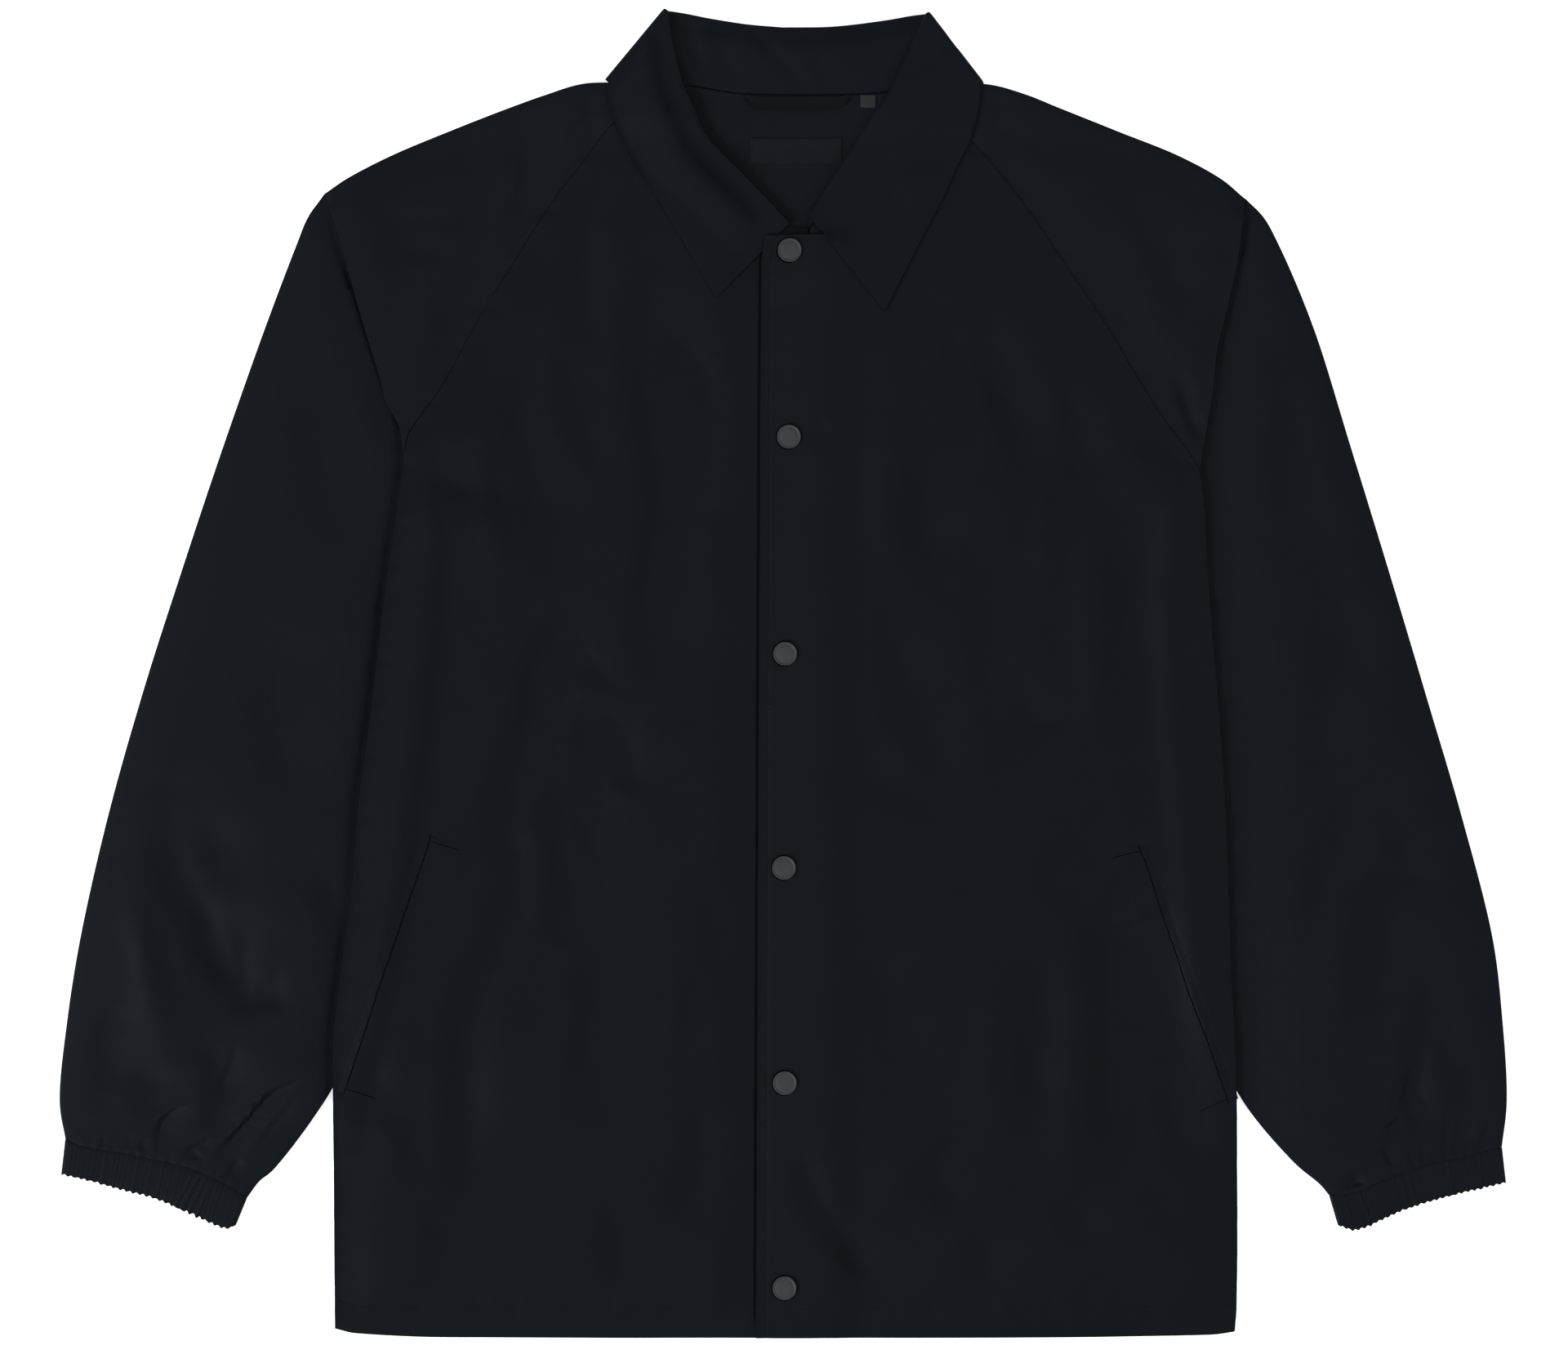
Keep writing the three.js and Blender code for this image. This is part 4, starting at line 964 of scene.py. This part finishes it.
for name, half in CUT.items():
    grid = front_grids[name]
    levels, inner = front_edges[name]
    rows = []
    if name == "left":
        keep = (levels > hem_at(-10) + 10) & (levels < half["front_top"] - EDGE_STITCH)
        edge = np.column_stack([half["sign"] * (inner[keep] + EDGE_STITCH), levels[keep]])
        rows.append(on_top(grid, edge))
        turn_back = edge[0] + np.array([[0, 0], [-5.5, 0]])
        rows.append(on_top(grid, turn_back))
    hem_x = np.linspace(CUT[name]["front_edge"][-1][1] + 1, CUT[name]["side"][-1][1] - 1, 60)
    if name == "right":
        hem_x = hem_x[hem_x > 17]
    hem_x = half["sign"] * hem_x
    rows.append(on_top(grid, np.column_stack([hem_x, hem_at(hem_x) + HEM_STITCH])))
    sew(name + "_front_stitches", rows)


# The pocket welts
# Each slanted pocket has one welt, about 22 mm wide. It is caught down along its inner side and
# at both ends, so that only the opening's thin dark line and the ends' seams show; the seams at
# the ends are drawn in near-black painted shade.
WELT_WIDTH = 22
WELT_LIFT = 0.35    # from the front's middle to the middle of the welt
MOUTH = [(-7, -0.55), (-5.5, -0.3), (-4, -0.14), (-2.5, -0.06), (-1.2, -0.02), (-0.62, -0.04),
         (-0.48, -0.3), (-0.44, -1.15), (0.38, -1.15), (0.42, -0.3), (0.52, 0.02), (1.2, 0.1),
         (3, 0.12), (6, 0.1), (9, 0.06), (12, 0.02), (15, -0.04), (18, -0.14), (20, -0.3),
         (22, -0.6)]  # place across the welt from its mouth, and rise
for name, half in CUT.items():
    top, bottom, inner_top, inner_bottom = (
        np.array([half["sign"] * x, y]) for x, y in WELTS[name])
    along = np.concatenate([[0, 0.003, 0.008], np.linspace(0.018, 0.982, 84), [0.992, 0.997, 1]])
    along = along[:, None]
    place, rise = np.array(MOUTH).T
    wide = (place / WELT_WIDTH)[None, :, None]
    outer_line = top * (1 - along[..., None]) + bottom * along[..., None]
    inner_line = inner_top * (1 - along[..., None]) + inner_bottom * along[..., None]
    bend = 0.35 * np.sin(7 * along + 1) + 0.2 * np.sin(19 * along)
    xy = outer_line * (1 - wide) + inner_line * wide
    xy = xy + (bend * smooth(0, 0.08, along) * (1 - smooth(0.92, 1, along)))[..., None]
    opening = distance_to(WELTS[name][:2], half["sign"] * xy[..., 0], xy[..., 1])[0]
    ground = height_on(front_grids[name], xy[..., 0], xy[..., 1])
    ground += MOUTH_DEPTH * np.exp(-(opening / MOUTH_WIDTH) ** 2)
    held = smooth(0, 0.012, along) * (1 - smooth(0.988, 1, along))
    swell = (0.75 + 0.25 * np.sin(11 * along + 2)) * (0.6 + 0.4 * np.sin(np.pi * along))
    z = ground + WELT_LIFT + rise * np.where(rise > 0, swell, 1) - WELT_LIFT * (1 - held)
    grid = np.concatenate([xy, z[..., None]], -1)
    lean = math.degrees(math.atan2(bottom[0] - top[0], top[1] - bottom[1]))
    welt = cloth_piece(name + "_welt", grid, grain(grid, lean), thickness=0.3)
    finish_cloth(welt, black_cloth, "shell_cloth", name + "_pocket_welt")
    raised = grid + np.array([0, 0, 0.18])
    sew(name + "_welt_stitches", [raised[2:-2, -4], raised[5, 10:-2], raised[-6, 10:-2]],
        pitch=2.6, length=1.6)
    # The seams at the welt's ends, drawn in near-black painted shade.
    sew(name + "_welt_ends", [raised[3, 9:-1], raised[-4, 9:-1]], pitch=1.0, length=1.3,
        finish=painted_shade)


# The cuffs
# A casing of the same cloth, sewn to the sleeve and drawn in by an elastic inside it, so that
# its cloth stands in fine uneven ribs and its mouth has a ragged edge. Each is one flat tube.
CUFF_MOUTH = {
    "right": [(335.5, -338), (341, -340), (364.5, -330), (387, -321), (404.5, -316.5),
              (424, -311), (442, -307)],
    "left": [(340, -338), (350, -341), (366, -335), (381.5, -328), (398, -323),
             (414.5, -318.5), (442.5, -312)],
}
STRONG_RIBS = {  # share across the cuff, half width, rise and slant of its plainest folds
    "right": [(0.20, 1.1, 0.35, 0.03), (0.235, 0.9, 0.4, 0.04), (0.27, 1.1, 0.45, 0.05),
              (0.305, 0.9, 0.35, 0.05), (0.60, 1.0, 0.2, 0.0), (0.78, 1.1, 0.2, -0.01)],
    "left": [(0.16, 1.1, 0.25, 0.04), (0.41, 1.2, 0.3, 0.02), (0.455, 0.9, 0.25, 0.02),
             (0.69, 1.1, 0.25, 0.0), (0.87, 1.0, 0.2, -0.02)],
}
CUFF_MIDDLE = 1.75  # height of the middle of the flat tube
CUFF_HALF = 1.05    # from there to the middle of either layer
CUFF_WIDTH = 112
CUFF_DEPTH = 22
CUFF_STEPS = 210
RIB_PITCH = (1.7, 3.1)


def cuff_ribs(name, share, down):
    """The height of a cuff's ribs, which run from its seam to its mouth."""
    chance = random.Random(name)
    rise = np.zeros(np.broadcast(share, down).shape)
    place = 2.0
    while place < CUFF_WIDTH - 2:
        half_width = chance.uniform(0.5, 0.85)
        height = chance.uniform(0.05, 0.24)
        slant = chance.uniform(-0.8, 0.8)
        fade = chance.uniform(0.4, 1.0)
        away = share * CUFF_WIDTH - place - slant * down
        rise += height * np.exp(-(away / half_width) ** 2) * (1 - (1 - fade) * down)
        place += chance.uniform(*RIB_PITCH)
    for where, half_width, height, slant in STRONG_RIBS[name]:
        away = (share - where - slant * down) * CUFF_WIDTH
        rise += height * np.exp(-(away / half_width) ** 2)
    return rise


for name, half in CUT.items():
    seam, mouth = path_through(CUFF_SEAM[name]), path_through(CUFF_MOUTH[name])
    go = np.linspace(0, 1, CUFF_STEPS)
    share = np.concatenate([go, go[-2:0:-1]])[None, :]
    on_front = np.concatenate([np.ones(len(go)), np.zeros(len(go) - 2)])[None, :]
    down = np.concatenate([[0.01, 0.04, 0.08], np.linspace(0.14, 0.94, 11), [0.98, 1]])[:, None]
    ribs = cuff_ribs(name, share, down)
    ends = np.sqrt(np.clip(1 - np.abs(2 * share - 1) ** 60, 0, 1))
    seam_dip = 0.4 * np.exp(-((down - 0.01) / 0.05) ** 2)
    seam_dip = seam_dip + 0.2 * np.exp(-((down - 0.97) / 0.05) ** 2)
    front_z = CUFF_MIDDLE + ends * (CUFF_HALF + 0.25 * np.sin(np.pi * down) + ribs - seam_dip)
    back_z = CUFF_MIDDLE - ends * (CUFF_HALF + 0.1 - 0.25 * ribs)
    ragged = (ribs - 0.15) * 1.8 * smooth(0.6, 1, down) + 0.5 * np.sin(share * 171) * down**8
    reach = down + ragged / CUFF_DEPTH
    xy = (seam(np.broadcast_to(share, ribs.shape)) * (1 - reach[..., None])
          + mouth(np.broadcast_to(share, ribs.shape)) * reach[..., None])
    z = np.where(on_front > 0, front_z, back_z)
    grid = np.concatenate([xy * np.array([half["sign"], 1]), z[..., None]], -1)
    cuff = cloth_piece(name + "_cuff", grid, strip_grain(grid), thickness=0.5, closed=True)
    finish_cloth(cuff, sheen_painted_sleeve_cloth, "shell_cloth", name + "_cuff_front", name + "_cuff_back")


# The collar
# A shirt collar of two layers, cut as one strip and folded over at its roll line. Its wings lie
# open on the fronts, rise to a soft roll and dip beside it, and its back stands up behind the neck.
COLLAR = {  # x and y of the roll line, the fall's edge and the neck seam, and the roll's radius
    "right": {
        "front": [(-4, 276, 41, 229.5, -2.5, 273.5, 0.75), (20.5, 302, 56.5, 256, 32, 292, 1.3),
                  (45.5, 328, 79.5, 295, 59.5, 313, 1.6), (55.5, 349, 95, 321, 72.5, 333, 1.6),
                  (61, 361, 103, 338, 78.5, 346, 1.5), (67, 384, 108, 352, 79.5, 355, 1.3),
                  (71, 405.4, 107, 362, 79.5, 363, 0.75)],
        "back": [(59.5, 403.6, 84.5, 353, 69.5, 361.6, 0.75),
                 (44.5, 400.6, 59.5, 349, 54.5, 360, 0.75),
                 (22, 397.1, 29.5, 345, 27, 355.6, 0.75)],
    },
    "left": {
        "front": [(16, 280, 62, 221.5, 15.5, 273, 0.75), (29.5, 302, 79.5, 256, 36.5, 296, 1.0),
                  (45.5, 327, 98, 292, 59.5, 318, 1.2), (54.5, 341, 106, 310, 74.5, 333, 1.2),
                  (65, 356, 114.5, 327, 86, 344, 1.2), (76.5, 380, 119.5, 347, 85.5, 354, 1.0),
                  (87.5, 403.4, 121, 360, 83.5, 363, 0.75)],
        "back": [(78, 402.2, 95.5, 352, 73, 359.2, 0.75), (60.5, 399.2, 68, 347, 60.5, 356.4, 0.75),
                 (30.5, 395.7, 33, 344.4, 30.5, 354.8, 0.75)],
    },
    "centre": (0, 395.2, 0, 344.2, 0, 354.8, 0.75),
}
COLLAR_CREASES = [  # x across the whole jacket
    (10, -2.2, (-68, 400), (-61, 384), (-54, 368)), (8, 1.0, (-46, 394), (-48, 374)),
    (8, -1.6, (-24, 390), (-8, 379), (8, 360)), (8, 1.0, (-12, 392), (6, 378), (20, 362)),
    (8, -1.3, (-34, 388), (-46, 368)),
    (10, 0.7, (36, 392), (30, 366)), (10, -0.9, (81, 396), (75, 380), (68, 364)),
    (9, -0.8, (92, 392), (104, 372)), (9, -0.6, (-96, 372), (-90, 352)),
    (12, -0.7, (50, 318), (72, 272)), (11, 0.5, (70, 320), (84, 276)),
]
SOFT_ROLL = {"right": (4.2, 20, 6.5), "left": (0.9, 2, 9)}  # rise, place and width of its crown
EDGE_CURL = {"right": 0.95, "left": 0}  # how far the fall's edge curls up on the fronts
EDGE_DROP = 0.35                        # and how far it is pressed down everywhere
RING = 1.35              # height of the line that the sections turn round at the collar's sides
FALL_HEIGHT = 2.25       # the fall's edge above that line
STAND_HEIGHT = 0.75      # and the stand
BACK_RADIUS = 0.75       # the roll's radius behind the neck
STAND_SPRING = 3.0       # how far the stand swells behind the neck
COLLAR_CLEARANCE = 1.25  # from a front's middle to the middle of the fall that lies on it
FALL_STEPS = (1, 0.995, 0.985, 0.97, 0.94, 0.9, 0.85, 0.8, 0.74, 0.68, 0.62, 0.56, 0.5, 0.44, 0.38,
              0.32, 0.27, 0.22, 0.17, 0.13, 0.09, 0.06)
ROLL_STEPS = np.radians([90, 108, 126, 144, 162, 180, 198, 216, 234, 252, 270])
STAND_STEPS = (0.1, 0.2, 0.3, 0.42, 0.54, 0.66, 0.78, 0.88, 0.95, 1)


def spread(rows, count):
    """Sections between a table's rows, on a smooth curve through them."""
    p = np.array(rows, float)
    p = np.vstack([2 * p[0] - p[1], p, 2 * p[-1] - p[-2]])
    t = np.linspace(0, len(rows) - 1, count)
    i = np.minimum(t.astype(int), len(rows) - 2)
    t = (t - i)[:, None]
    a, b, c, d = (p[i + k] for k in range(4))
    return b + 0.5 * t * (c - a + t * (2 * a - 5 * b + 4 * c - d + t * (3 * (b - c) + d - a)))


def collar_sections(rows, name, turns):
    """The collar across each of its sections, from the fall's edge over the roll to the neck seam.
    turns is the angle by which each section is folded down round the collar's side."""
    sign = CUT[name]["sign"]
    roll, fall, neck = rows[:, None, 0:2], rows[:, None, 2:4], rows[:, None, 4:6]
    radius = rows[:, 6:7]
    depth = np.linalg.norm(fall - roll, axis=2)
    stand = np.linalg.norm(neck - roll, axis=2)
    toward_fall, toward_neck = (fall - roll) / depth[..., None], (neck - roll) / stand[..., None]
    crown = STAND_HEIGHT + 2 * radius
    share = np.array(FALL_STEPS)[None, :]
    away = radius + (depth - radius) * (share - FALL_STEPS[-1]) / (1 - FALL_STEPS[-1])
    rise, place, width = SOFT_ROLL[name]
    up = np.sin(turns)[:, None].clip(0, 1)
    width = np.where(away > place, 3.4 * width, width)
    swell = rise * np.exp(-((away - place) / width) ** 2) * smooth(0.75, 1.3, radius) * up
    fall_lift = FALL_HEIGHT + (crown - FALL_HEIGHT) * (1 - smooth(0, 1, away / depth)) + swell
    curl = EDGE_CURL[name] * up - EDGE_DROP
    fall_lift = fall_lift + curl * np.exp(-(((depth - away) / 1.2) ** 2))
    fall_xy = roll + toward_fall * away[..., None]
    swing = ((ROLL_STEPS - np.pi / 2) / np.pi)[None, :, None]
    inwards = (radius * (1 + np.cos(ROLL_STEPS)))[..., None]
    roll_xy = roll + (toward_fall * (1 - swing) + toward_neck * swing) * inwards
    roll_lift = STAND_HEIGHT + radius * (1 + np.sin(ROLL_STEPS))
    stand_share = np.array(STAND_STEPS)[None, :]
    stand_away = radius + (stand - radius) * stand_share
    stand_xy = roll + toward_neck * stand_away[..., None]
    behind = (-np.sin(turns)).clip(0, 1)[:, None]
    spring = STAND_SPRING * smooth(0.05, 0.3, stand_share) * (1 - stand_share) * behind
    stand_lift = STAND_HEIGHT - spring
    xy = np.concatenate([fall_xy, roll_xy, stand_xy], 1)
    lift = np.concatenate([fall_lift, roll_lift, stand_lift], 1)
    out = np.stack([-toward_fall[..., 1], toward_fall[..., 0]], -1)
    xy = xy + out * (np.cos(turns)[:, None] * lift)[..., None]
    x, y = xy[..., 0], xy[..., 1]
    z = RING + np.sin(turns)[:, None] * lift + neck_lift(x, y)
    if name == "left":
        z += (lap_lift(x, y) + 0.3) * up
    if np.all(turns > 1.5):
        fronts = np.vstack([grids[name].reshape(-1, 3) for grids in (front_grids, shoulder_grids)])
        fronts = fronts[fronts[:, 1] > 210]
        fall = slice(0, len(FALL_STEPS))
        below = height_on(fronts, sign * x[:, fall], y[:, fall]) + COLLAR_CLEARANCE
        gap = z[:, fall] - below
        z[:, fall] = below + (gap + np.sqrt(gap ** 2 + 0.12)) / 2
    soft = creases(COLLAR_CREASES, sign * x, y)
    on_fall = np.arange(z.shape[1])[None, :] < len(FALL_STEPS) + 2
    on_top_side = np.where(turns[:, None] > 0, on_fall, ~on_fall)
    from_roll = np.linalg.norm(xy - roll, axis=2)
    free = smooth(0, 8, np.minimum(np.abs(depth - from_roll), from_roll))
    z = z + np.where(on_top_side, soft * free + 0.5 * slack(x * 1.5, y * 1.5, 4.0) * free, 0)
    return np.stack([sign * x, y, z], -1)


collar_rows = []
for name in ("right", "left"):
    wing = spread(COLLAR[name]["front"], 64)
    turned = np.radians([78, 62, 46, 30, 15, 0, -15, -30, -46, -62, -78])
    back_rows = spread([tuple(wing[-1]), *COLLAR[name]["back"], COLLAR["centre"]], 40)
    back_rows[:, 6] = BACK_RADIUS
    sections = np.concatenate([
        collar_sections(wing, name, np.full(len(wing), np.pi / 2)),
        collar_sections(np.repeat(wing[-1:], len(turned), 0), name, turned),
        collar_sections(back_rows, name, np.full(len(back_rows), -np.pi / 2)),
    ])
    collar_rows.append(sections if name == "right" else sections[:-1][::-1])
collar_grid = np.concatenate(collar_rows)
collar_threads = strip_grain(collar_grid)[..., ::-1]
collar = cloth_piece("folded_collar", collar_grid, collar_threads, thickness=1.0)
finish_cloth(collar, black_cloth, "shell_cloth", "collar")


# The hanger loop and the labels
# A loop of narrow black tape is caught in the neck seam, with a bare woven label sewn below it
# and a small bare size tab beside it.
LOOP = [(-23.5, 353.5, 2.5), (-21.5, 351.6, 5), (-17, 349.7, 7), (-6, 348.9, 8.2), (10, 348.7, 8.4),
        (26, 348.9, 8.2), (36, 350.2, 6.5), (40, 352, 4)]  # x and y of its middle, and its width
LOOP_HEIGHT = 3.05
NECK_LABEL = (-20, 36, 312.5, 328)
SIZE_TAB = (47.5, 56.5, 346.5, 354)
tape = woven("Black woven tape", (0.0022, 0.0030, 0.0040), (0.0044, 0.0056, 0.0070),
             pitch=0.9, depth=0.12, rough=0.6, specular=0.06, sheen=0.01)
label_weave = woven("Bare label weave", (0.0028, 0.0042, 0.0054), (0.0056, 0.0076, 0.0098),
                    pitch=0.5, depth=0.05, rough=0.6, specular=0.075, sheen=0.01)
tab_weave = woven("Grey size tab", (0.013, 0.0142, 0.0136), (0.024, 0.0252, 0.024),
                  pitch=0.4, depth=0.04, rough=0.6, specular=0.12, sheen=0.0)

x0 = np.linspace(LOOP[0][0], LOOP[-1][0], 70)
middle = line_through([(x, y) for x, y, _ in LOOP])(x0)
width = line_through([(x, w) for x, _, w in LOOP])(x0)
wide = np.linspace(0.5, -0.5, 9)
x, y = np.broadcast_to(x0[:, None], (70, 9)), middle[:, None] + wide * width[:, None]
arch = 0.5 + 0.5 * (1 - smooth(0, 10, np.minimum(x0 - x0[0], x0[-1] - x0)))
z = LOOP_HEIGHT + 0.9 * (1 - arch[:, None]) + 0.5 * smooth(0, 0.5, -wide)[None, :]
z = z - 0.3 * smooth(0.3, 0.5, wide) + 0.12 * np.sin(x / 3.1) + 0.45 * smooth(352, 354, y)
grid = np.stack([x, y, z], -1)
loop = cloth_piece("loop_of_tape", grid, grain(grid), thickness=0.9)
finish_cloth(loop, tape, "woven_tape", "hanger_loop")


def flat_label(name, box, rise, finish, node_name):
    """A bare label with turned ends, a little uneven where it is sewn on."""
    x0, x1, y0, y1 = box
    x, y = np.meshgrid(np.linspace(x0, x1, 57), np.linspace(y0, y1, 17))
    edge = np.minimum.reduce([x - x0, x1 - x, y - y0, y1 - y])
    z = height_on(back_grid, x, y) + CLOTH / 2 + rise - round_edge(edge, 0.25, 1)
    z = z + 0.08 * np.sin(x / 2.3) * np.exp(-((y - y0) / 3) ** 2) + 0.10 * np.sin(x / 9 + y / 7)
    grid = np.stack([x, y, z], -1)
    label = cloth_piece(name, grid, grain(grid), thickness=0.45)
    finish_cloth(label, finish, "woven_tape", node_name)
    return grid


label_grid = flat_label("bare_neck_label", NECK_LABEL, 0.4, label_weave, "neck_label")
flat_label("bare_size_tab", SIZE_TAB, 0.5, tab_weave, "size_label")
lifted = label_grid + np.array([0, 0, 0.28])
sew("label_stitches", [lifted[1, 1:-1], lifted[-2, 1:-1], lifted[1:-1, 1], lifted[1:-1, -2]],
    pitch=2.0, length=1.5)


# The snaps
# Six ring snaps close the front. Each cap is a pressed disc, matt and dark grey, with a slim
# raised rim and a shallow ring inside it, set through both layers of the upper front's edge.
# Under each lies a flat ring a little wider than the cap, painted near-black: a painted shadow round the
# cap.
CAP = {"radius": 7.25, "height": 2.2, "rim": 0.75, "well": 0.3}
# The ring under each cap: near-black painted shadow round the cap's edge.
CAP_SHADOW_RING = {"radius": 8.0, "height": 0.45}
CAPS = [(4, 258.8), (3.5, 144.8), (1.2, 12), (0.5, -119), (1, -250.6), (0.8, -376)]


def cap_metal():
    """Matt dark grey paint with a fine even grain and faint cloudy patches."""
    finish, tree, shader = new_finish("Matt grey cap")
    link = tree.links.new
    place = node(tree, "TexCoord", (-1000, 0))
    grit = node(tree, "TexNoise", (-780, 0), in_Scale=2600.0, in_Detail=2.0)
    cloud = node(tree, "TexNoise", (-780, -250), in_Scale=160.0, in_Detail=3.0)
    link(place.outputs["Object"], grit.inputs["Vector"])
    link(place.outputs["Object"], cloud.inputs["Vector"])
    both = node(tree, "Mix", (-560, 0), data_type="FLOAT")
    both.inputs[0].default_value = 0.6
    link(grit.outputs["Fac"], both.inputs[2])
    link(cloud.outputs["Fac"], both.inputs[3])
    shade = node(tree, "ValToRGB", (-380, 100))
    shade.color_ramp.elements[0].position = 0.3
    shade.color_ramp.elements[0].color = (0.0165, 0.018, 0.0205, 1)
    shade.color_ramp.elements[1].position = 0.75
    shade.color_ramp.elements[1].color = (0.029, 0.031, 0.034, 1)
    link(both.outputs[0], shade.inputs["Fac"])
    link(shade.outputs[0], shader.inputs["Base Color"])
    gloss = node(tree, "MapRange", (-380, -150))
    gloss.inputs["To Min"].default_value = 0.5
    gloss.inputs["To Max"].default_value = 0.68
    link(both.outputs[0], gloss.inputs["Value"])
    link(gloss.outputs[0], shader.inputs["Roughness"])
    bump = node(tree, "Bump", (-380, -400), in_Strength=0.3, in_Distance=0.00004)
    link(grit.outputs["Fac"], bump.inputs["Height"])
    link(bump.outputs[0], shader.inputs["Normal"])
    shader.inputs["Specular IOR Level"].default_value = 0.35
    return finish


cap_finish = cap_metal()


def first_cap():
    """A disc, inset and pressed into its rim and well, and its edges rounded, joined to a slightly wider
    flat ring beneath it that is painted shadow.
    """
    bpy.ops.object.select_all(action="DESELECT")
    bpy.ops.mesh.primitive_cylinder_add(vertices=48, radius=CAP["radius"] * MM,
                                        depth=CAP["height"] * MM,
                                        location=(0, 0, CAP["height"] * MM / 2))
    cap = bpy.context.active_object
    bpy.ops.object.transform_apply(location=True, rotation=True, scale=True)
    bpy.ops.object.mode_set(mode="EDIT")
    bpy.ops.mesh.select_mode(type="FACE")
    bpy.ops.mesh.select_all(action="DESELECT")
    bpy.ops.object.mode_set(mode="OBJECT")
    for polygon in cap.data.polygons:
        polygon.select = polygon.normal.z > 0.9
    bpy.ops.object.mode_set(mode="EDIT")
    bpy.ops.mesh.inset(thickness=CAP["rim"] * MM)
    bpy.ops.mesh.inset(thickness=0.35 * MM, depth=-CAP["well"] * MM)
    bpy.ops.mesh.inset(thickness=0.5 * MM)
    bpy.ops.mesh.inset(thickness=0.4 * MM, depth=0.14 * MM)
    bpy.ops.mesh.inset(thickness=2.2 * MM, depth=0.1 * MM)
    bpy.ops.object.mode_set(mode="OBJECT")
    bevel = cap.modifiers.new("Round", "BEVEL")
    bevel.width = 0.22 * MM
    bevel.segments = 3
    bevel.limit_method = "ANGLE"
    bevel.angle_limit = math.radians(25)
    bpy.ops.object.modifier_apply(modifier="Round")
    bpy.ops.object.shade_smooth_by_angle(angle=math.radians(40))
    cap.data.materials.clear()
    cap.data.materials.append(cap_finish)
    cap.data.materials.append(painted_shade)
    # The wider flat ring under the cap, in painted shade: a painted shadow round the cap.
    bpy.ops.mesh.primitive_cylinder_add(vertices=48, radius=CAP_SHADOW_RING["radius"] * MM,
                                        depth=CAP_SHADOW_RING["height"] * MM,
                                        location=(0, 0, CAP_SHADOW_RING["height"] * MM / 2))
    shadow_ring = bpy.context.active_object
    bpy.ops.object.transform_apply(location=True, rotation=True, scale=True)
    shadow_ring.data.materials.append(cap_finish)
    shadow_ring.data.materials.append(painted_shade)
    for polygon in shadow_ring.data.polygons:
        polygon.material_index = 1
    cap.select_set(True)
    bpy.context.view_layer.objects.active = cap
    bpy.ops.object.join()
    return cap


pattern_cap = first_cap()
for number, (x, y) in enumerate(CAPS, 1):
    cap = bpy.data.objects.new(f"snap_cap_{number}", pattern_cap.data.copy())
    bpy.context.scene.collection.objects.link(cap)
    ground = height_on(front_grids["left"], [x], [y])[0] + CLOTH / 2 - 0.25
    for vertex in cap.data.vertices:
        vertex.co += Vector((x, y, ground)) * MM
    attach(cap, "root")
    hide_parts(f"snap_{number}")
bpy.data.objects.remove(pattern_cap)


# The table, the light and the camera
# A pale table under wide soft light from the viewer's lower left, seen straight from above
# through a long lens.
def plain_table():
    """A wide pale plane just under the jacket, which gives a little light of its own."""
    bpy.ops.mesh.primitive_plane_add(size=40, location=(0, 0, -0.0003))
    table = bpy.context.active_object
    table.name = "table"
    bpy.ops.object.transform_apply(location=True, rotation=True, scale=True)
    return table


table = plain_table()
paint, paint_tree, paint_shader = new_finish("Pale table")
paint_shader.inputs["Base Color"].default_value = (0.86, 0.86, 0.87, 1)
paint_shader.inputs["Roughness"].default_value = 0.9
paint_shader.inputs["Emission Color"].default_value = (1, 1, 1, 1)
paint_shader.inputs["Emission Strength"].default_value = 0.62
table.data.materials.append(paint)


def soft_light(name, place, size, power, colour):
    """A square lamp that faces the middle of the jacket."""
    lamp = bpy.data.lights.new(name, "AREA")
    lamp.size = size
    lamp.energy = power
    lamp.color = colour
    holder = bpy.data.objects.new(name, lamp)
    bpy.context.scene.collection.objects.link(holder)
    holder.location = place
    holder.rotation_euler = (-Vector(place)).to_track_quat("-Z", "Y").to_euler()


soft_light("Window", (-4.6, -2.4, 2.6), 2.6, 430, (0.90, 0.95, 1.0))
soft_light("Fill", (4.8, -1.0, 2.6), 2.6, 80, (0.90, 0.95, 1.0))
soft_light("Overhead", (0.5, 0.3, 3.4), 2.4, 32, (0.98, 0.99, 1.0))
world = bpy.data.worlds.new("Studio")
world.use_nodes = True
world.node_tree.nodes["Background"].inputs["Color"].default_value = (0.90, 0.93, 1.0, 1)
world.node_tree.nodes["Background"].inputs["Strength"].default_value = 0.36
bpy.context.scene.world = world
bpy.context.scene.view_settings.view_transform = "Standard"

LENS = 110
SENSOR = 36
VIEW_WIDTH = 0.960  # metres across the picture
eye = bpy.data.cameras.new("Camera")
eye.lens = LENS
eye.sensor_width = SENSOR
camera = bpy.data.objects.new("Camera", eye)
bpy.context.scene.collection.objects.link(camera)
camera.location = (0.0005, -0.0010, VIEW_WIDTH * LENS / SENSOR + 0.003)
bpy.context.scene.camera = camera
